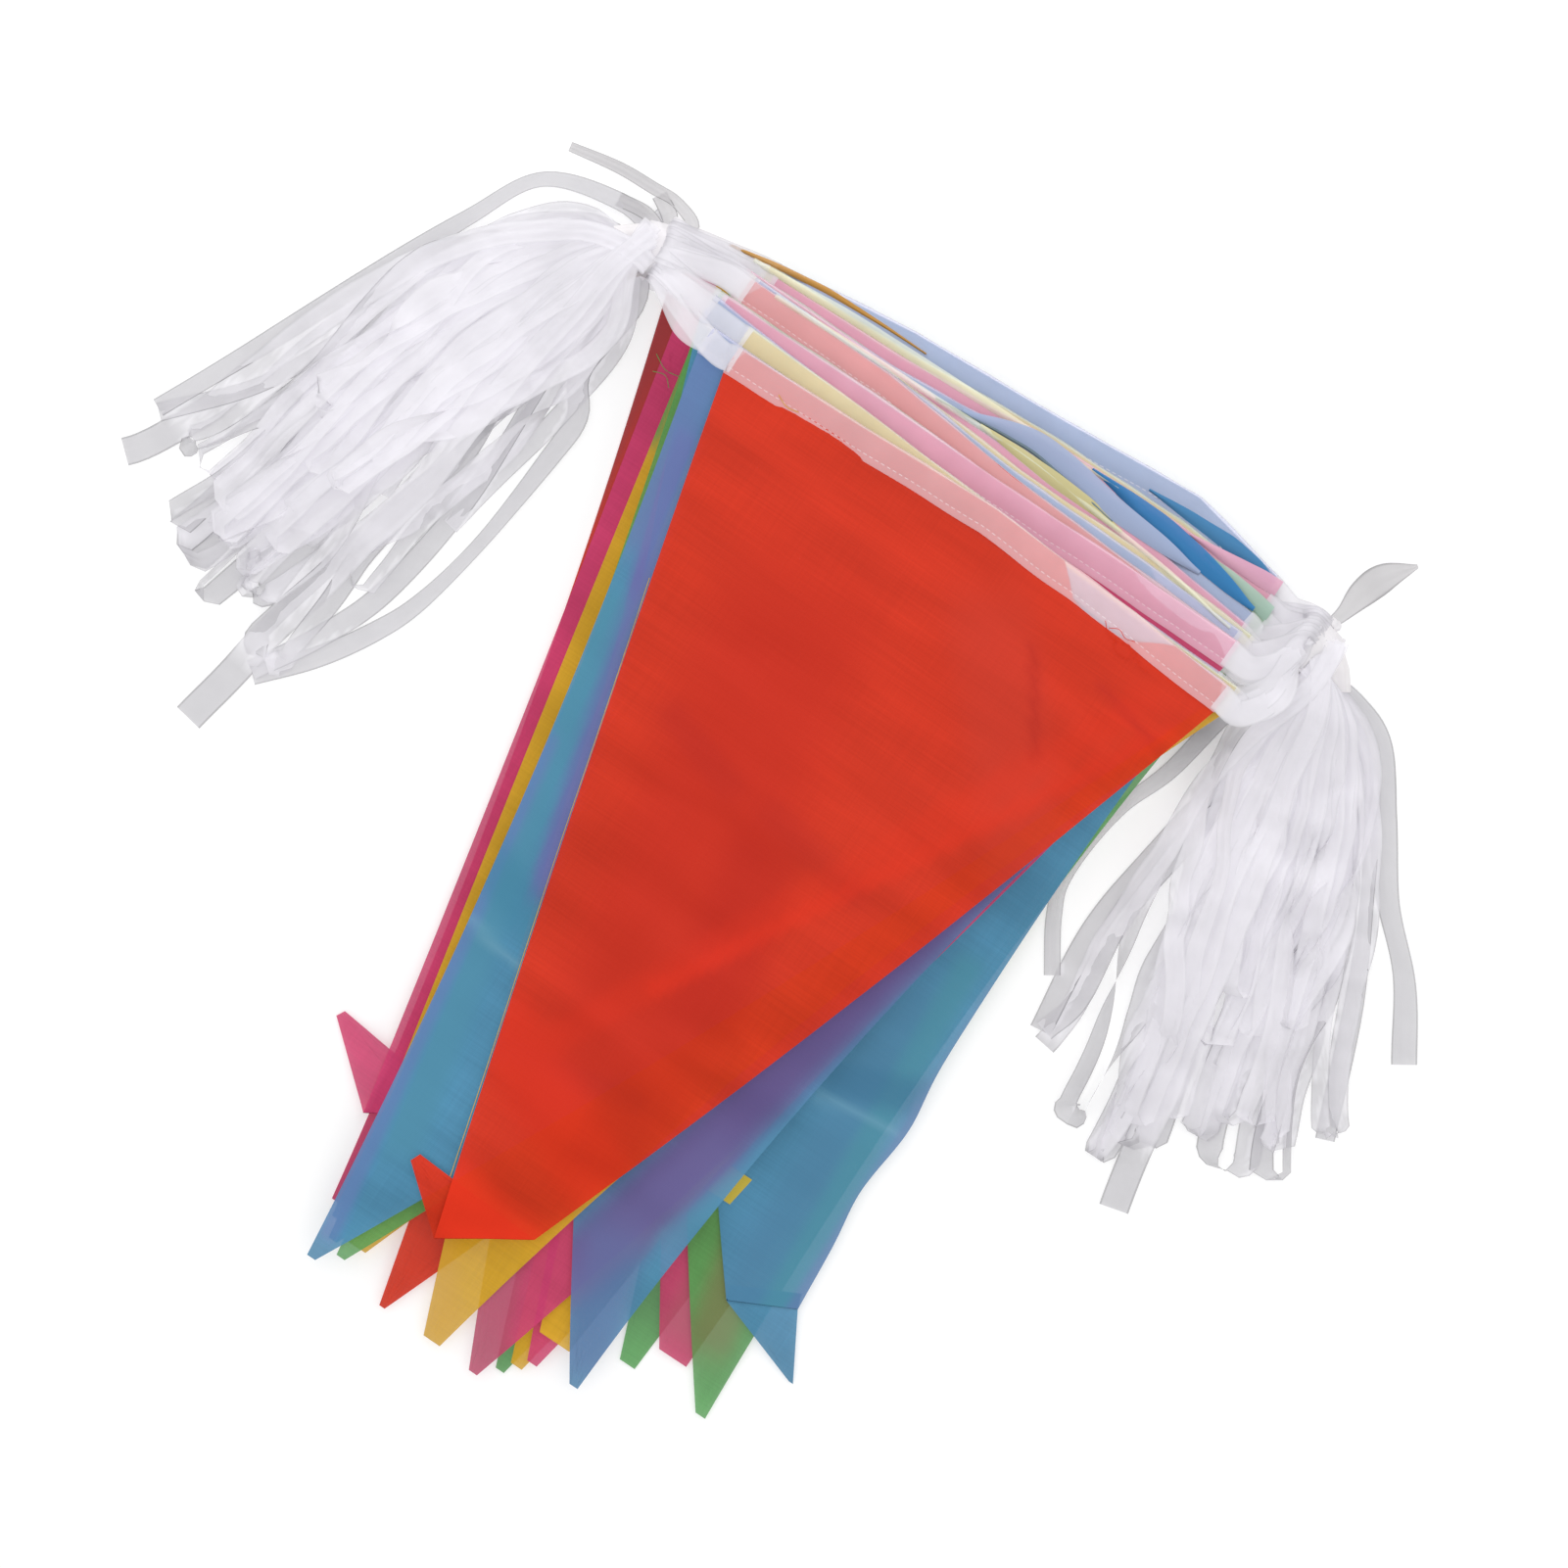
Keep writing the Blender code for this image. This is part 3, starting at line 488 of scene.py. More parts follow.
# %% Crease field
# both ends of a soft ridge or trough, its height and half width, in millimetres
CREASES = (
    ((-120, -177), (20, -190), 0.9, 5), ((0, -181), (110, -168), 1.0, 5),
    ((-70, -112), (70, -104), 0.6, 7), ((-90, -62), (40, -74), -0.5, 6),
    ((0, -6), (34, -22), -0.8, 4), ((30, -21), (86, -30), -0.9, 4),
    ((86, -4), (40, -96), 0.6, 6), ((-60, -150), (50, -140), -0.5, 7),
    ((-50, -214), (60, -222), 0.6, 6), ((-86, -30), (-40, -200), 0.3, 8),
    ((-30, -246), (24, -238), 0.5, 4), ((54, -168.5), (88, -162.5), 0.9, 2.4),
)
RIPPLES = ((0.014, 0.055, 0.9), (0.05, 0.13, 0.3))    # waves a millimetre in x and y, height
LEAST_DEPTH = 0.3             # the lowest layer's creases, as a share of the front one's


def noise_at(*columns):
    """Smooth noise from -1 to 1 at places whose three coordinates are given as columns."""
    return np.array([noise.noise(Vector(place)) for place in np.broadcast(*columns)])


def ridge(x, y, a, b, height, width):
    """A soft ridge along a line that fades out at both ends."""
    ax, ay, bx, by = *a, *b
    length = math.hypot(bx - ax, by - ay)
    ux, uy = (bx - ax) / length, (by - ay) / length
    along = ((x - ax) * ux + (y - ay) * uy) / length
    off = (-(x - ax) * uy + (y - ay) * ux) / width
    ends = np.clip(1 - (2 * along - 1) ** 2, 0, 1)
    return height * ends * np.exp(-off * off)


def crease_depth(share):
    """How deep the creases are in a layer, its share being 0 for the lowest and 1 for the front."""
    return LEAST_DEPTH + (1 - LEAST_DEPTH) * share


def crease_height(x, y):
    """Height of the pile's shared creases and ripples at layout places, in millimetres."""
    total = np.zeros(x.shape)
    for a, b, height, width in CREASES:
        total += ridge(x, y, a, b, height, width)
    for k, (fx, fy, height) in enumerate(RIPPLES):
        total += height * noise_at(x * fx, y * fy, 2.5 + 5 * k).reshape(x.shape)
    return total

# %% [markdown]
# ## What shows through, and painted shade and highlights
# Sheer cloth takes on the colour of what lies below it: blue over red looks violet, and blue over
# green looks teal.  A renderer can work that out from the layers, but twenty thin sheets would
# soon turn grey.  So the tints are listed, as soft bands along the hidden edges.
# Some bands are painted light instead.  Darker bands beside creases are painted shade, light lines on
# their ridges are painted highlights, and a dark band near the top of the back red pennant is a painted
# shadow under the headers.

# %% Tints from below, and painted shade and highlights
CREASED_RED = (0.42, 0.02, 0.010)        # the shaded side of a crease
# pennant, both ends of a soft band, its half width, the tint and its share
UNDER_TINTS_AND_PAINTED_LIGHT = {
    "left_blue": (
        ((-90, -25), (-50, -164), 3.8, (0.125, 0.135, 0.36), 0.9),
        ((-98, 0), (-86, -55), 8, (0.13, 0.17, 0.37), 0.7),
        ((-82, -80), (-42, -250), 7, (0.075, 0.240, 0.36), 0.8),
        ((-73, -124), (-45, -286), 3.2, (0.115, 0.19, 0.40), 0.75),
        # painted shade just above a crease ridge
        ((-66, -165), (-48, -172), 8, (0.05, 0.20, 0.32), 0.6),
        # painted highlight on the crease ridge
        ((-63, -183), (-42, -186), 1.8, (0.16, 0.34, 0.46), 0.45),
    ),
    "right_blue": (
        ((62.5, -60), (26, -250), 11, (0.114, 0.078, 0.235), 0.9),
        ((56, -178), (42, -230), 4, (0.085, 0.25, 0.39), 0.7),
        ((30, -242), (42, -274), 9, (0.078, 0.165, 0.34), 0.85),
        ((40, -200), (22, -262), 8, (0.13, 0.13, 0.31), 0.6),
    ),
    "right_fold_blue": (
        ((66, -130), (76, -240), 12, (0.072, 0.20, 0.335), 0.7),
        ((72, -110), (82, -235), 5, (0.07, 0.25, 0.34), 0.75),
        # painted shade just above a crease ridge
        ((58, -160), (80, -152), 6, (0.045, 0.155, 0.28), 0.6),
        # painted highlight on the crease ridge
        ((56, -168), (84, -163), 1.6, (0.15, 0.33, 0.46), 0.5),
        ((84.5, -112), (87.5, -232), 3.4, (0.108, 0.20, 0.375), 0.9),
    ),
    "right_green": (((62, -212), (70, -247), 8, (0.158, 0.19, 0.07), 0.8),),
    "blunt_yellow": (((-26, -262), (-2, -290), 8, (0.54, 0.30, 0.04), 0.6),),
    "mid_magenta": (((2, -262), (14, -292), 8, (0.36, 0.07, 0.12), 0.7),),
    "strip_magenta": (((58, -214), (62, -249), 8, (0.42, 0.072, 0.125), 0.9),),
    "left_yellow": (((-110, 10), (-102, -26), 6, (0.09, 0.30, 0.085), 0.95),),
    "fold_magenta": (((-104, -60), (-72, -236), 3, (0.46, 0.10, 0.14), 0.6),),
    "front_red": (
        ((-30, -60), (-2, -200), 26, (0.49, 0.022, 0.008), 0.7),
        ((2, -118), (12, -162), 13, (0.44, 0.018, 0.007), 0.6),
        ((20, -20), (66, -70), 14, (0.53, 0.04, 0.02), 0.5),
        # this band and the next four: painted shade along creases
        ((34, -18), (52, -44), 2.0, (0.40, 0.02, 0.010), 0.5),
        ((58, -16), (84, -22), 2.0, CREASED_RED, 0.5),
        ((-46, -96), (-20, -104), 5, CREASED_RED, 0.4),
        ((-4, -104), (30, -110), 5, CREASED_RED, 0.35),
        ((-58, -214), (10, -200), 4, CREASED_RED, 0.35),
        # these four lighter bands: painted highlights along creases
        ((82, -16), (-4, -168), 3, (0.74, 0.030, 0.008), 0.30),
        ((70, -14), (-20, -196), 5, (0.70, 0.030, 0.008), 0.22),
        ((-36, -204), (26, -232), 12, (0.70, 0.030, 0.010), 0.5),
        ((-24, -256), (6, -262), 13, (0.76, 0.034, 0.012), 0.75),
    ),
    "back_red": (
        # painted shadow near the top of the back red pennant, under the headers
        ((-118, 6), (-106, -70), 9, (0.26, 0.018, 0.022), 0.95),
        ((-55, -244), (-49, -278), 6, (0.46, 0.05, 0.14), 0.9),
    ),
}

# %% How a tint fades
def soft_band(x, y, a, b, width):
    """1 on a line and 0 beyond a few widths from it, with soft ends."""
    (ax, ay), (bx, by) = a, b
    length = math.hypot(bx - ax, by - ay)
    along = ((x - ax) * (bx - ax) + (y - ay) * (by - ay)) / length
    beyond = np.maximum(0, np.maximum(-along, along - length)) / width
    off = (-(x - ax) * (by - ay) + (y - ay) * (bx - ax)) / length / width
    return np.exp(-beyond ** 2 - (off * off) ** 2)


def tints_of(row, plan):
    """Colour and share of the tint at plan points, as red, green, blue and share."""
    colour = np.zeros((*plan.shape[:2], 4))
    for a, b, width, tint, share in UNDER_TINTS_AND_PAINTED_LIGHT.get(row["name"], ()):
        part = share * soft_band(plan[..., 0], plan[..., 1], a, b, width)
        total = 1 - (1 - colour[..., 3]) * (1 - part)
        weight = (part / np.maximum(total, 1e-6))[..., None]
        colour[..., :3] = colour[..., :3] * (1 - weight) + np.array(tint) * weight
        colour[..., 3] = total
    return colour

# %% [markdown]
# ## Laying the cloth
# A pennant is cut as a grid of points in plan, which is then lowered onto its solid: a plumb line
# finds the solid's skin under every point.  That skin is flat facets, so each height is a mean
# over a few millimetres, and the shared creases are added to it.

# %% How the cloth lies on its solid
TUCK = 8.0                    # how far the cloth runs up into the tape
SLIPPED = (27.0, 68.0)        # between these the front pennant has slipped out of its tape
SLIP_RAMPS = (9.0, 13.0)      # how gently it comes out at both ends of that stretch
SLIP_DROP = 0.5               # how far below the tape its edge lies there
CLOTH_ROWS, CLOTH_COLS = 100, 44
FLAP_ROWS = 14
SAG_REACH = 0.3               # share of its length over which a header's sag fades out
PLEAT = 5.0                   # depth of the pleat that turns a tip aside
ASIDE_DROP = 0.3              # how far a tip turned aside lies below the middle of its solid
PLEAT_DROPS = (0.35, 0.4)     # how far the pleat's inner and outer folds lie below the cloth
TOP_CREASES = 1.7             # the front pennant is slack, so its creases are deeper
SLACK = (10.0, 25.0)          # from this far below its header, and over this length
FOLD_EDGE = 0.12              # share of the last row that bends round a fold
HALF_SOLID = 0.5              # half of a solid's thickness, millimetres
SMOOTH_STEP = 4.0             # reach of the softening of a solid's flat facets
AROUND = ((0, 0), (1, 0), (-1, 0), (0, 1), (0, -1))
FLOOR_GAP = 0.15              # least height of a sheet over the surface


def lie_on(solid, plan, from_below=False):
    """Heights in millimetres of a sheet in the middle of a solid, softened over its facets."""
    heights = np.zeros(plan.shape[:2])
    for step in AROUND:
        moved = plan + np.array(step) * SMOOTH_STEP
        places = to_frame(np.dstack((moved, np.zeros(plan.shape[:2]))))
        for r, c in np.ndindex(*plan.shape[:2]):
            heights[r, c] += solid.height(places[r, c, 0], places[r, c, 1], from_below) / MM
    middle = HALF_SOLID if from_below else -HALF_SOLID
    return heights / len(AROUND) + middle


def laid(plan, heights, share):
    """Frame points of a sheet, with the pile's creases laid over its own heights."""
    depth = crease_depth(share)
    if share == 1:
        start, reach = SLACK
        depth = depth + (TOP_CREASES - 1) * np.clip(-(plan[..., 1] + start) / reach, 0, 1)
    crease = crease_height(plan[..., 0], plan[..., 1]) * depth
    return to_frame(np.dstack((plan, np.maximum(heights + crease, FLOOR_GAP))))


def layer_share(number):
    """0 for the lowest pennant and 1 for the front one."""
    return 1 - number / (len(ROWS) - 1)

# %% Plan of the cloth with its tuck and its turned tip
def tuck_depth(row, x):
    """How far the cloth reaches up into the tape at x."""
    depth = np.full(np.shape(x), TUCK)
    if row["name"] == "front_red":
        (start, end), (first, last) = SLIPPED, SLIP_RAMPS
        inside = np.clip(np.minimum((x - start) / first, (end - x) / last), 0, 1)
        depth = TUCK - (TUCK + SLIP_DROP) * inside
    return depth


def main_plan(row, ends):
    """Plan of the lying part of a pennant, with its sagging top edge and its tuck."""
    plan = panel(row, (0, 0), ends, CLOTH_ROWS, CLOTH_COLS)
    sag = top_edge(row, plan[0, :, 0]) - plan[0, :, 1]
    fade = np.clip(1 - np.linspace(0, 1, CLOTH_ROWS) / SAG_REACH, 0, 1)[:, None] ** 2
    plan[..., 1] += sag * fade
    tuck = plan[:1].copy()
    tuck[..., 1] += tuck_depth(row, tuck[..., 0])
    if row["name"] == "front_red":
        plan[1:4, :, 1] += np.minimum(tuck[..., 1] - plan[0, :, 1], 0)
        plan[0, :, 1] = np.minimum(plan[0, :, 1], tuck[0, :, 1] - 0.1)
    return np.concatenate((tuck, plan))


def flap_plan(row):
    """Plan of a turned tip from its fold to its end."""
    a, b, (tip_a, tip_b) = fold_line(row)
    s = np.linspace(0, 1, CLOTH_COLS)[:, None]
    fold, end = a * (1 - s) + b * s, tip_a * (1 - s) + tip_b * s
    t = np.linspace(0, 1, FLAP_ROWS)[:, None, None]
    return fold * (1 - t) + end * t

# %% Cut and lay the pennants
def make_pennant(number, row):
    """The cloth of one pennant."""
    share = layer_share(number)
    solid = Solid("pennant_" + row["name"])
    plan = main_plan(row, row["fold"][:2] if row["fold"] else (1.0, 1.0))
    if row["fold"]:
        plan = np.insert(plan, -1, plan[-1] + (plan[-2] - plan[-1]) * FOLD_EDGE, axis=0)
    heights = lie_on(solid, plan)
    grid = laid(plan, heights, share)
    if row["fold"]:
        flap = flap_plan(row)
        if row["fold"][2] is None:
            under = laid(flap, lie_on(solid, flap, from_below=True), share)
            grid = np.concatenate((grid, under[1:]))
        else:
            middle = plan.reshape(-1, 2).mean(axis=0) - flap[0].mean(axis=0)
            back = flap[:1] + PLEAT * middle / np.linalg.norm(middle)
            tip = lie_on(solid, flap) - ASIDE_DROP
            inner, outer = PLEAT_DROPS
            grid = np.concatenate((grid, laid(back, heights[-1:] - inner, share),
                                   laid(flap[:1], tip[:1] - outer, share), laid(flap[1:], tip[1:], share)))
    name = "cloth_" + row["name"]
    mesh = grid_mesh(name, [grid], CLOTH[row["colour"]])
    tints = np.zeros((*grid.shape[:2], 4))
    tints[:len(plan)] = tints_of(row, plan)
    tint_points(mesh, tints)
    piece = add_piece(name, mesh, row["colour"] + "_cloth", "pennant_" + row["name"])


for number, row in enumerate(ROWS):
    make_pennant(number, row)
print("pennants laid:", len(ROWS))

# %% [markdown]
# ## The header tape
# The tape is folded in half over each pennant's top edge and sewn through.  The fold is at the
# top, so a band is a sheet that comes up in front of the cloth, turns over and goes down
# behind it.  Its colour is the white tape over the dyed cloth inside.  The seam shows as a row
# of short white stitches a little above the tape's lower edge.

# %% Fold the tape over each header
TAPE = 8.6                    # width of the folded tape
BAND_COLS = 110
# up from the tape's lower edge, and from the middle of the cloth: once round the folded tape
BAND_PROFILE = ((-0.7, 0.30), (1.2, 0.32), (1.5, 0.24), (1.8, 0.32), (4.5, 0.34), (8.1, 0.30),
                (8.6, 0.0), (8.1, -0.30), (4.5, -0.30), (0.4, -0.30))
BAND_WAVE, BAND_GRAIN = 0.5, 0.06        # unevenness of a band, and its waves a millimetre
BAND_CREASE = 0.4             # the tape is stiffer, so this share of the cloth's creases is in it
BAND_GAP = 0.1                # least height of a band over the surface


def band_line(number, row):
    """Plan and height of a band's lower edge along its length, in millimetres."""
    solid = Solid("binding_" + row["name"])
    x = np.linspace(row["left"][0], row["right"][0], BAND_COLS)
    base = top_edge(row, x) + BAND_WAVE * noise_at(x * BAND_GRAIN, number * 3.7, 0.4)
    places = to_frame(np.stack((x, base + TAPE / 2, 0 * x), axis=1))
    level = np.array([solid.height(px, py) for px, py, _ in places]) / MM - HALF_SOLID
    level += crease_height(x, base) * crease_depth(layer_share(number)) * BAND_CREASE
    return x, base, level


def make_band(number, row):
    """The folded tape of one pennant.  Gives back the line that its seam follows."""
    x, base, level = band_line(number, row)
    grid = np.stack([to_frame(np.stack((x, base + rise, np.maximum(level + lift, BAND_GAP)), axis=1))
                     for rise, lift in BAND_PROFILE])
    around = np.cumsum([0] + [math.dist(a, b) for a, b in zip(BAND_PROFILE, BAND_PROFILE[1:])])
    uv = uv_grid(x / TAPE, around / around[-1])[..., ::-1]
    name = "band_" + row["name"]
    mesh = grid_mesh(name, [grid], HEADER_TAPE[row["colour"]], [uv], [np.ones(grid.shape[:2])])
    piece = add_piece(name, mesh, row["colour"] + "_under_tape", "binding_" + row["name"],
                      shadow=True)
    return x, base, level


SEAM_LINES = [make_band(number, row) for number, row in enumerate(ROWS)]
print("header bands folded:", len(ROWS))

# %% Sew the seams
STITCH = (1.2, 0.20, 0.14)               # length, width and thickness in millimetres
STITCH_PITCH = 2.1
SEAM_UP = 1.5                            # how far the seam is above the tape's lower edge
SEAM_END = 1.5                           # how far from a band's ends it stops
PROUD = 0.05                             # how far a stitch stands out of the tape
THREAD = Finish("white_thread", Base_Color=(0.82, 0.76, 0.78, 1), Alpha=0.55, Roughness=0.6)


def stitch_box(bm, centre, ahead, size):
    """One stitch: a little bar."""
    length, width, thick = size
    across = np.array((-ahead[1], ahead[0]))
    corners = []
    for lift in (-thick / 2, thick / 2):
        for a, b in ((-1, -1), (1, -1), (1, 1), (-1, 1)):
            plan = centre[:2] + ahead * a * length / 2 + across * b * width / 2
            corners.append(bm.verts.new(to_frame((*plan, centre[2] + lift))))
    for quad in ((0, 3, 2, 1), (4, 5, 6, 7), (0, 1, 5, 4), (1, 2, 6, 5), (2, 3, 7, 6), (3, 0, 4, 7)):
        bm.faces.new([corners[q] for q in quad])


def make_seams():
    """All the seams as one piece."""
    bm = bmesh.new()
    for x, base, level in SEAM_LINES:
        steps = np.arange(x[0] + SEAM_END, x[-1] - SEAM_END, STITCH_PITCH)
        y = np.interp(steps, x, base) + SEAM_UP
        z = np.interp(steps, x, level) + BAND_PROFILE[2][1] + PROUD
        for px, py, pz, next_y in zip(steps, y, z, np.r_[y[1:], y[-1]]):
            ahead = np.array((STITCH_PITCH, next_y - py))
            stitch_box(bm, np.array((px, py, pz)), ahead / np.linalg.norm(ahead), STITCH)
    mesh = finished_mesh(bm, "seams", THREAD)
    add_piece("seams", mesh, "white_tape")
    return len(mesh.polygons) // 6


print("stitches:", make_seams())

# %% [markdown]
# ## Loose pieces in the header
# Towards the right the pile's headers have been pulled apart.  The cloth of two blue pennants
# stands up out of its tape there, one blue header and the corners of a pink and a green one are
# twisted across the others, and narrow lines of yellow tape show between the bands.  A dark strip
# in one gap between the bands is a painted shadow.
# Each is a narrow sheet laid over the bands that it crosses.

# %% Table of the loose pieces
# name, cloth or tape, dye, tint and its share, points: x, y, width
DEEP_BLUE, AMBER, NO_TINT = (0.03, 0.17, 0.40, 0.9), (0.45, 0.22, 0.06, 0.8), (0, 0, 0, 0)
# where the tape lies double over its cloth, so it is less sheer
PALE_BLUE, PALE_YELLOW = (0.31, 0.37, 0.53, 1), (0.52, 0.47, 0.24, 1)
PALE_GREEN, PALE_PINK = (0.33, 0.47, 0.39, 1), (0.62, 0.33, 0.44, 1)
LOOSE = (
    ("twisted_blue", "cloth", "blue", PALE_BLUE,
     ((-25, 30.5, 1.6), (-12, 34.6, 4.0), (-1, 36.4, 6.4), (12, 35.0, 7.6), (32, 32.0, 6.8),
      (50, 31.2, 5.0), (63, 30.4, 1.0))),
    ("standing_blue", "cloth", "blue", DEEP_BLUE,
     ((18, 38.8, 0.6), (30, 37.9, 3.6), (46, 36.2, 6.6), (62, 34.0, 6.4), (74, 32.0, 4.4),
      (83, 30.4, 1.2))),
    ("upper_blue", "cloth", "blue", (0.06, 0.20, 0.40, 0.8),
     ((36, 43.4, 0.6), (50, 43.6, 3.4), (66, 43.4, 5.4), (78, 42.6, 3.6), (84, 41.2, 0.8))),
    ("pink_corner", "cloth", "magenta", PALE_PINK,
     ((54, 38.8, 0.8), (68, 39.2, 3.8), (80, 40.0, 5.4), (86, 40.2, 5.2))),
    ("green_corner", "cloth", "green", PALE_GREEN,
     ((61, 36.6, 0.8), (72, 35.2, 3.2), (82, 33.2, 5.2), (88, 32.0, 5.4))),
    ("yellow_stretch", "cloth", "yellow", PALE_YELLOW,
     ((-18, 30.6, 0.8), (-4, 30.0, 3.6), (10, 29.3, 4.8), (24, 28.8, 4.0), (36, 27.4, 0.8))),
    ("yellow_line", "tape", "yellow", NO_TINT,
     ((-92, 27.8, 1.6), (-50, 29.0, 1.8), (0, 30.5, 1.8), (30, 27.6, 1.6), (60, 25.0, 1.4),
      (80, 21.0, 1.0))),
    ("left_yellow_line", "tape", "yellow", NO_TINT,
     ((-104, 33.6, 1.6), (-70, 36.0, 3.4), (-30, 37.0, 3.2), (10, 37.8, 1.8), (30, 38.4, 0.8))),
    ("amber_line", "cloth", "yellow", AMBER,
     ((-113, 33.4, 0.8), (-98, 36.2, 1.8), (-80, 38.8, 2.0), (-58, 39.6, 1.0), (-44, 39.6, 0.5))),
    # painted shadow: a dark strip laid in the gap between the twisted ribbon and the yellow stretch
    ("painted_shadow_line", "cloth", "blue", (0.16, 0.20, 0.22, 0.9),
     ((-34, 29.6, 0.5), (-14, 31.8, 1.0), (0, 32.8, 1.3), (12, 31.2, 1.5), (24, 29.8, 1.0),
      (32, 28.4, 0.5))),
)

# %% Lay the loose pieces
LOOSE_ROWS, LOOSE_COLS = 60, 7
LOOSE_BULGE = 0.5             # how much higher its middle is than its sides
CLEARANCE = 0.35              # how far a loose piece lies above the bands
REACH = 3                     # points to each side that smooth a line


def smoothed(values, reach=REACH):
    """Running means of a row of values."""
    span = 2 * reach + 1
    return np.convolve(np.pad(values, reach, mode="edge"), np.ones(span) / span, mode="valid")


def header_top(solids, x, y):
    """Height in millimetres of the highest of some solids at a layout place."""
    px, py, _ = to_frame((x, y, 0.0))
    hits = [solid.hit(px, py) for solid in solids]
    return max([hit.z / MM for hit in hits if hit is not None], default=0.0)


def make_loose(bindings, name, kind, dye, tint, points):
    """One loose piece of the header."""
    points = np.array(points, float)
    where = np.linspace(points[0, 0], points[-1, 0], LOOSE_ROWS)
    y, width = (smoothed(np.interp(where, points[:, 0], points[:, k])) for k in (1, 2))
    s = np.linspace(-0.5, 0.5, LOOSE_COLS)
    plan = np.dstack((np.repeat(where[:, None], LOOSE_COLS, axis=1), y[:, None] + width[:, None] * s))
    tops = np.array([[header_top(bindings, *place) for place in row] for row in plan]).max(axis=1)
    over = np.flatnonzero(tops)
    tops = np.interp(range(LOOSE_ROWS), over, tops[over])
    tops = smoothed([tops[max(0, i - REACH):i + REACH + 1].max() for i in range(LOOSE_ROWS)])
    bulge = LOOSE_BULGE * (1 - 4 * s * s) + CLEARANCE
    grid = to_frame(np.dstack((plan, tops[:, None] + bulge - HALF_SOLID)))
    uv = uv_grid(np.linspace(0, 1, LOOSE_COLS), where / TAPE)
    finish = CLOTH[dye] if kind == "cloth" else HEADER_TAPE[dye]
    mesh = grid_mesh(name, [grid], finish, [uv], [np.ones(grid.shape[:2])])
    tint_points(mesh, tint)
    piece = add_piece(name, mesh, dye + ("_cloth" if kind == "cloth" else "_under_tape"),
                      shadow=True)


BINDINGS = [Solid("binding_" + row["name"]) for row in ROWS]
for facts in LOOSE:
    make_loose(BINDINGS, *facts)
print("loose pieces:", len(LOOSE))

# %% [markdown]
# ## A corner that peeps out
# Low at the right, the corner of a hidden yellow pennant sticks out between two blue ones.  It is
# a scrap of the same cloth, laid on the lower of the two.

# %% Lay the yellow corner
PEEP_EDGE = ((53.5, -200.6), (52.0, -210.7))     # its outer edge
PEEP_DEPTH = 8.0                                 # how far it reaches below the blue pennant
PEEP_ROWS, PEEP_COLS = 6, 5
LEMON = (0.52, 0.43, 0.05, 0.8)                  # tint and its share


def make_peep():
    """The corner of a hidden yellow pennant, between the two blue ones at the right."""
    number = [row["name"] for row in ROWS].index("right_fold_blue")
    along = np.linspace(*PEEP_EDGE, PEEP_ROWS)[:, None]
    plan = along - np.stack((np.linspace(PEEP_DEPTH, 0, PEEP_COLS), np.zeros(PEEP_COLS)), axis=1)
    heights = lie_on(Solid("pennant_right_fold_blue"), plan) + CLEARANCE
    mesh = grid_mesh("yellow_corner", [laid(plan, heights, layer_share(number))], CLOTH["yellow"])
    tint_points(mesh, LEMON)
    piece = add_piece("yellow_corner", mesh, "yellow_cloth")


make_peep()
print("yellow corner laid")

# %% [markdown]
# ## Bare tape
# Between two pennants the tape has nothing on it.  At both sides of the pile that bare tape is
# gathered at a neck, and what is left over hangs in loops.  A strip of it is a row of cross
# sections along a path.  Each section can be turned, which makes the strip look narrow and
# lets it flip over, and pleated.  The strips are laid one by one on a raster that remembers how
# high the pile is and how many layers it has, so each strip lies on those below it.

# %% Strips of bare tape
STRIP_COLS = 9
FLIP_RISE = 0.5               # share of its width that a strip keeps upright where it is on edge
FURROWS = 7.5                 # radians of pleating from the middle of a strip to its edge


def unit_rows(vectors):
    """Unit vectors along rows of vectors."""
    return vectors / np.maximum(np.linalg.norm(vectors, axis=1), 1e-9)[:, None]


def strip_across(path):
    """Unit vectors across a plan path."""
    ahead = unit_rows(np.gradient(path, axis=0))
    return np.stack((-ahead[:, 1], ahead[:, 0]), axis=1)


def step_lengths(path):
    """Distance from each point of a path to the next."""
    return np.linalg.norm(np.diff(path, axis=0), axis=1)


def way_along(path):
    """Distance along a path from its start to each of its points."""
    return np.r_[0, np.cumsum(step_lengths(path))]


def tape_strip(path, widths, twist, pleat, seed):
    """Plan and relief of a strip along a path, turned by twist and pleated."""
    s = np.linspace(-1, 1, STRIP_COLS)[None]
    half = widths[:, None] / 2 * s
    flat = half * np.cos(twist)[:, None]
    rise = half * np.sin(twist)[:, None] * FLIP_RISE + np.sin(s * FURROWS + seed) * pleat[:, None]
    plan = path[:, None] + strip_across(path)[:, None] * flat[..., None]
    return plan, rise - rise.min(axis=1, keepdims=True)


def strip_uv(path):
    """Strip coordinates: 0 to 1 across, tape widths along."""
    return uv_grid(np.linspace(0, 1, STRIP_COLS), way_along(path) / TAPE)


def smooth_path(points, count):
    """A smooth curve through a few points of any dimension."""
    points = np.asarray(points, float)
    steps = way_along(points[:, :2])
    padded = np.vstack((2 * points[0] - points[1], points, 2 * points[-1] - points[-2]))
    out = []
    for where in np.linspace(0, steps[-1], count):
        k = min(int(np.searchsorted(steps, where, side="right")) - 1, len(points) - 2)
        t = (where - steps[k]) / (steps[k + 1] - steps[k])
        p0, p1, p2, p3 = padded[k:k + 4]
        out.append(0.5 * (2 * p1 + (p2 - p0) * t + (2 * p0 - 5 * p1 + 4 * p2 - p3) * t ** 2
                          + (3 * p1 - p0 - 3 * p2 + p3) * t ** 3))
    return np.array(out)

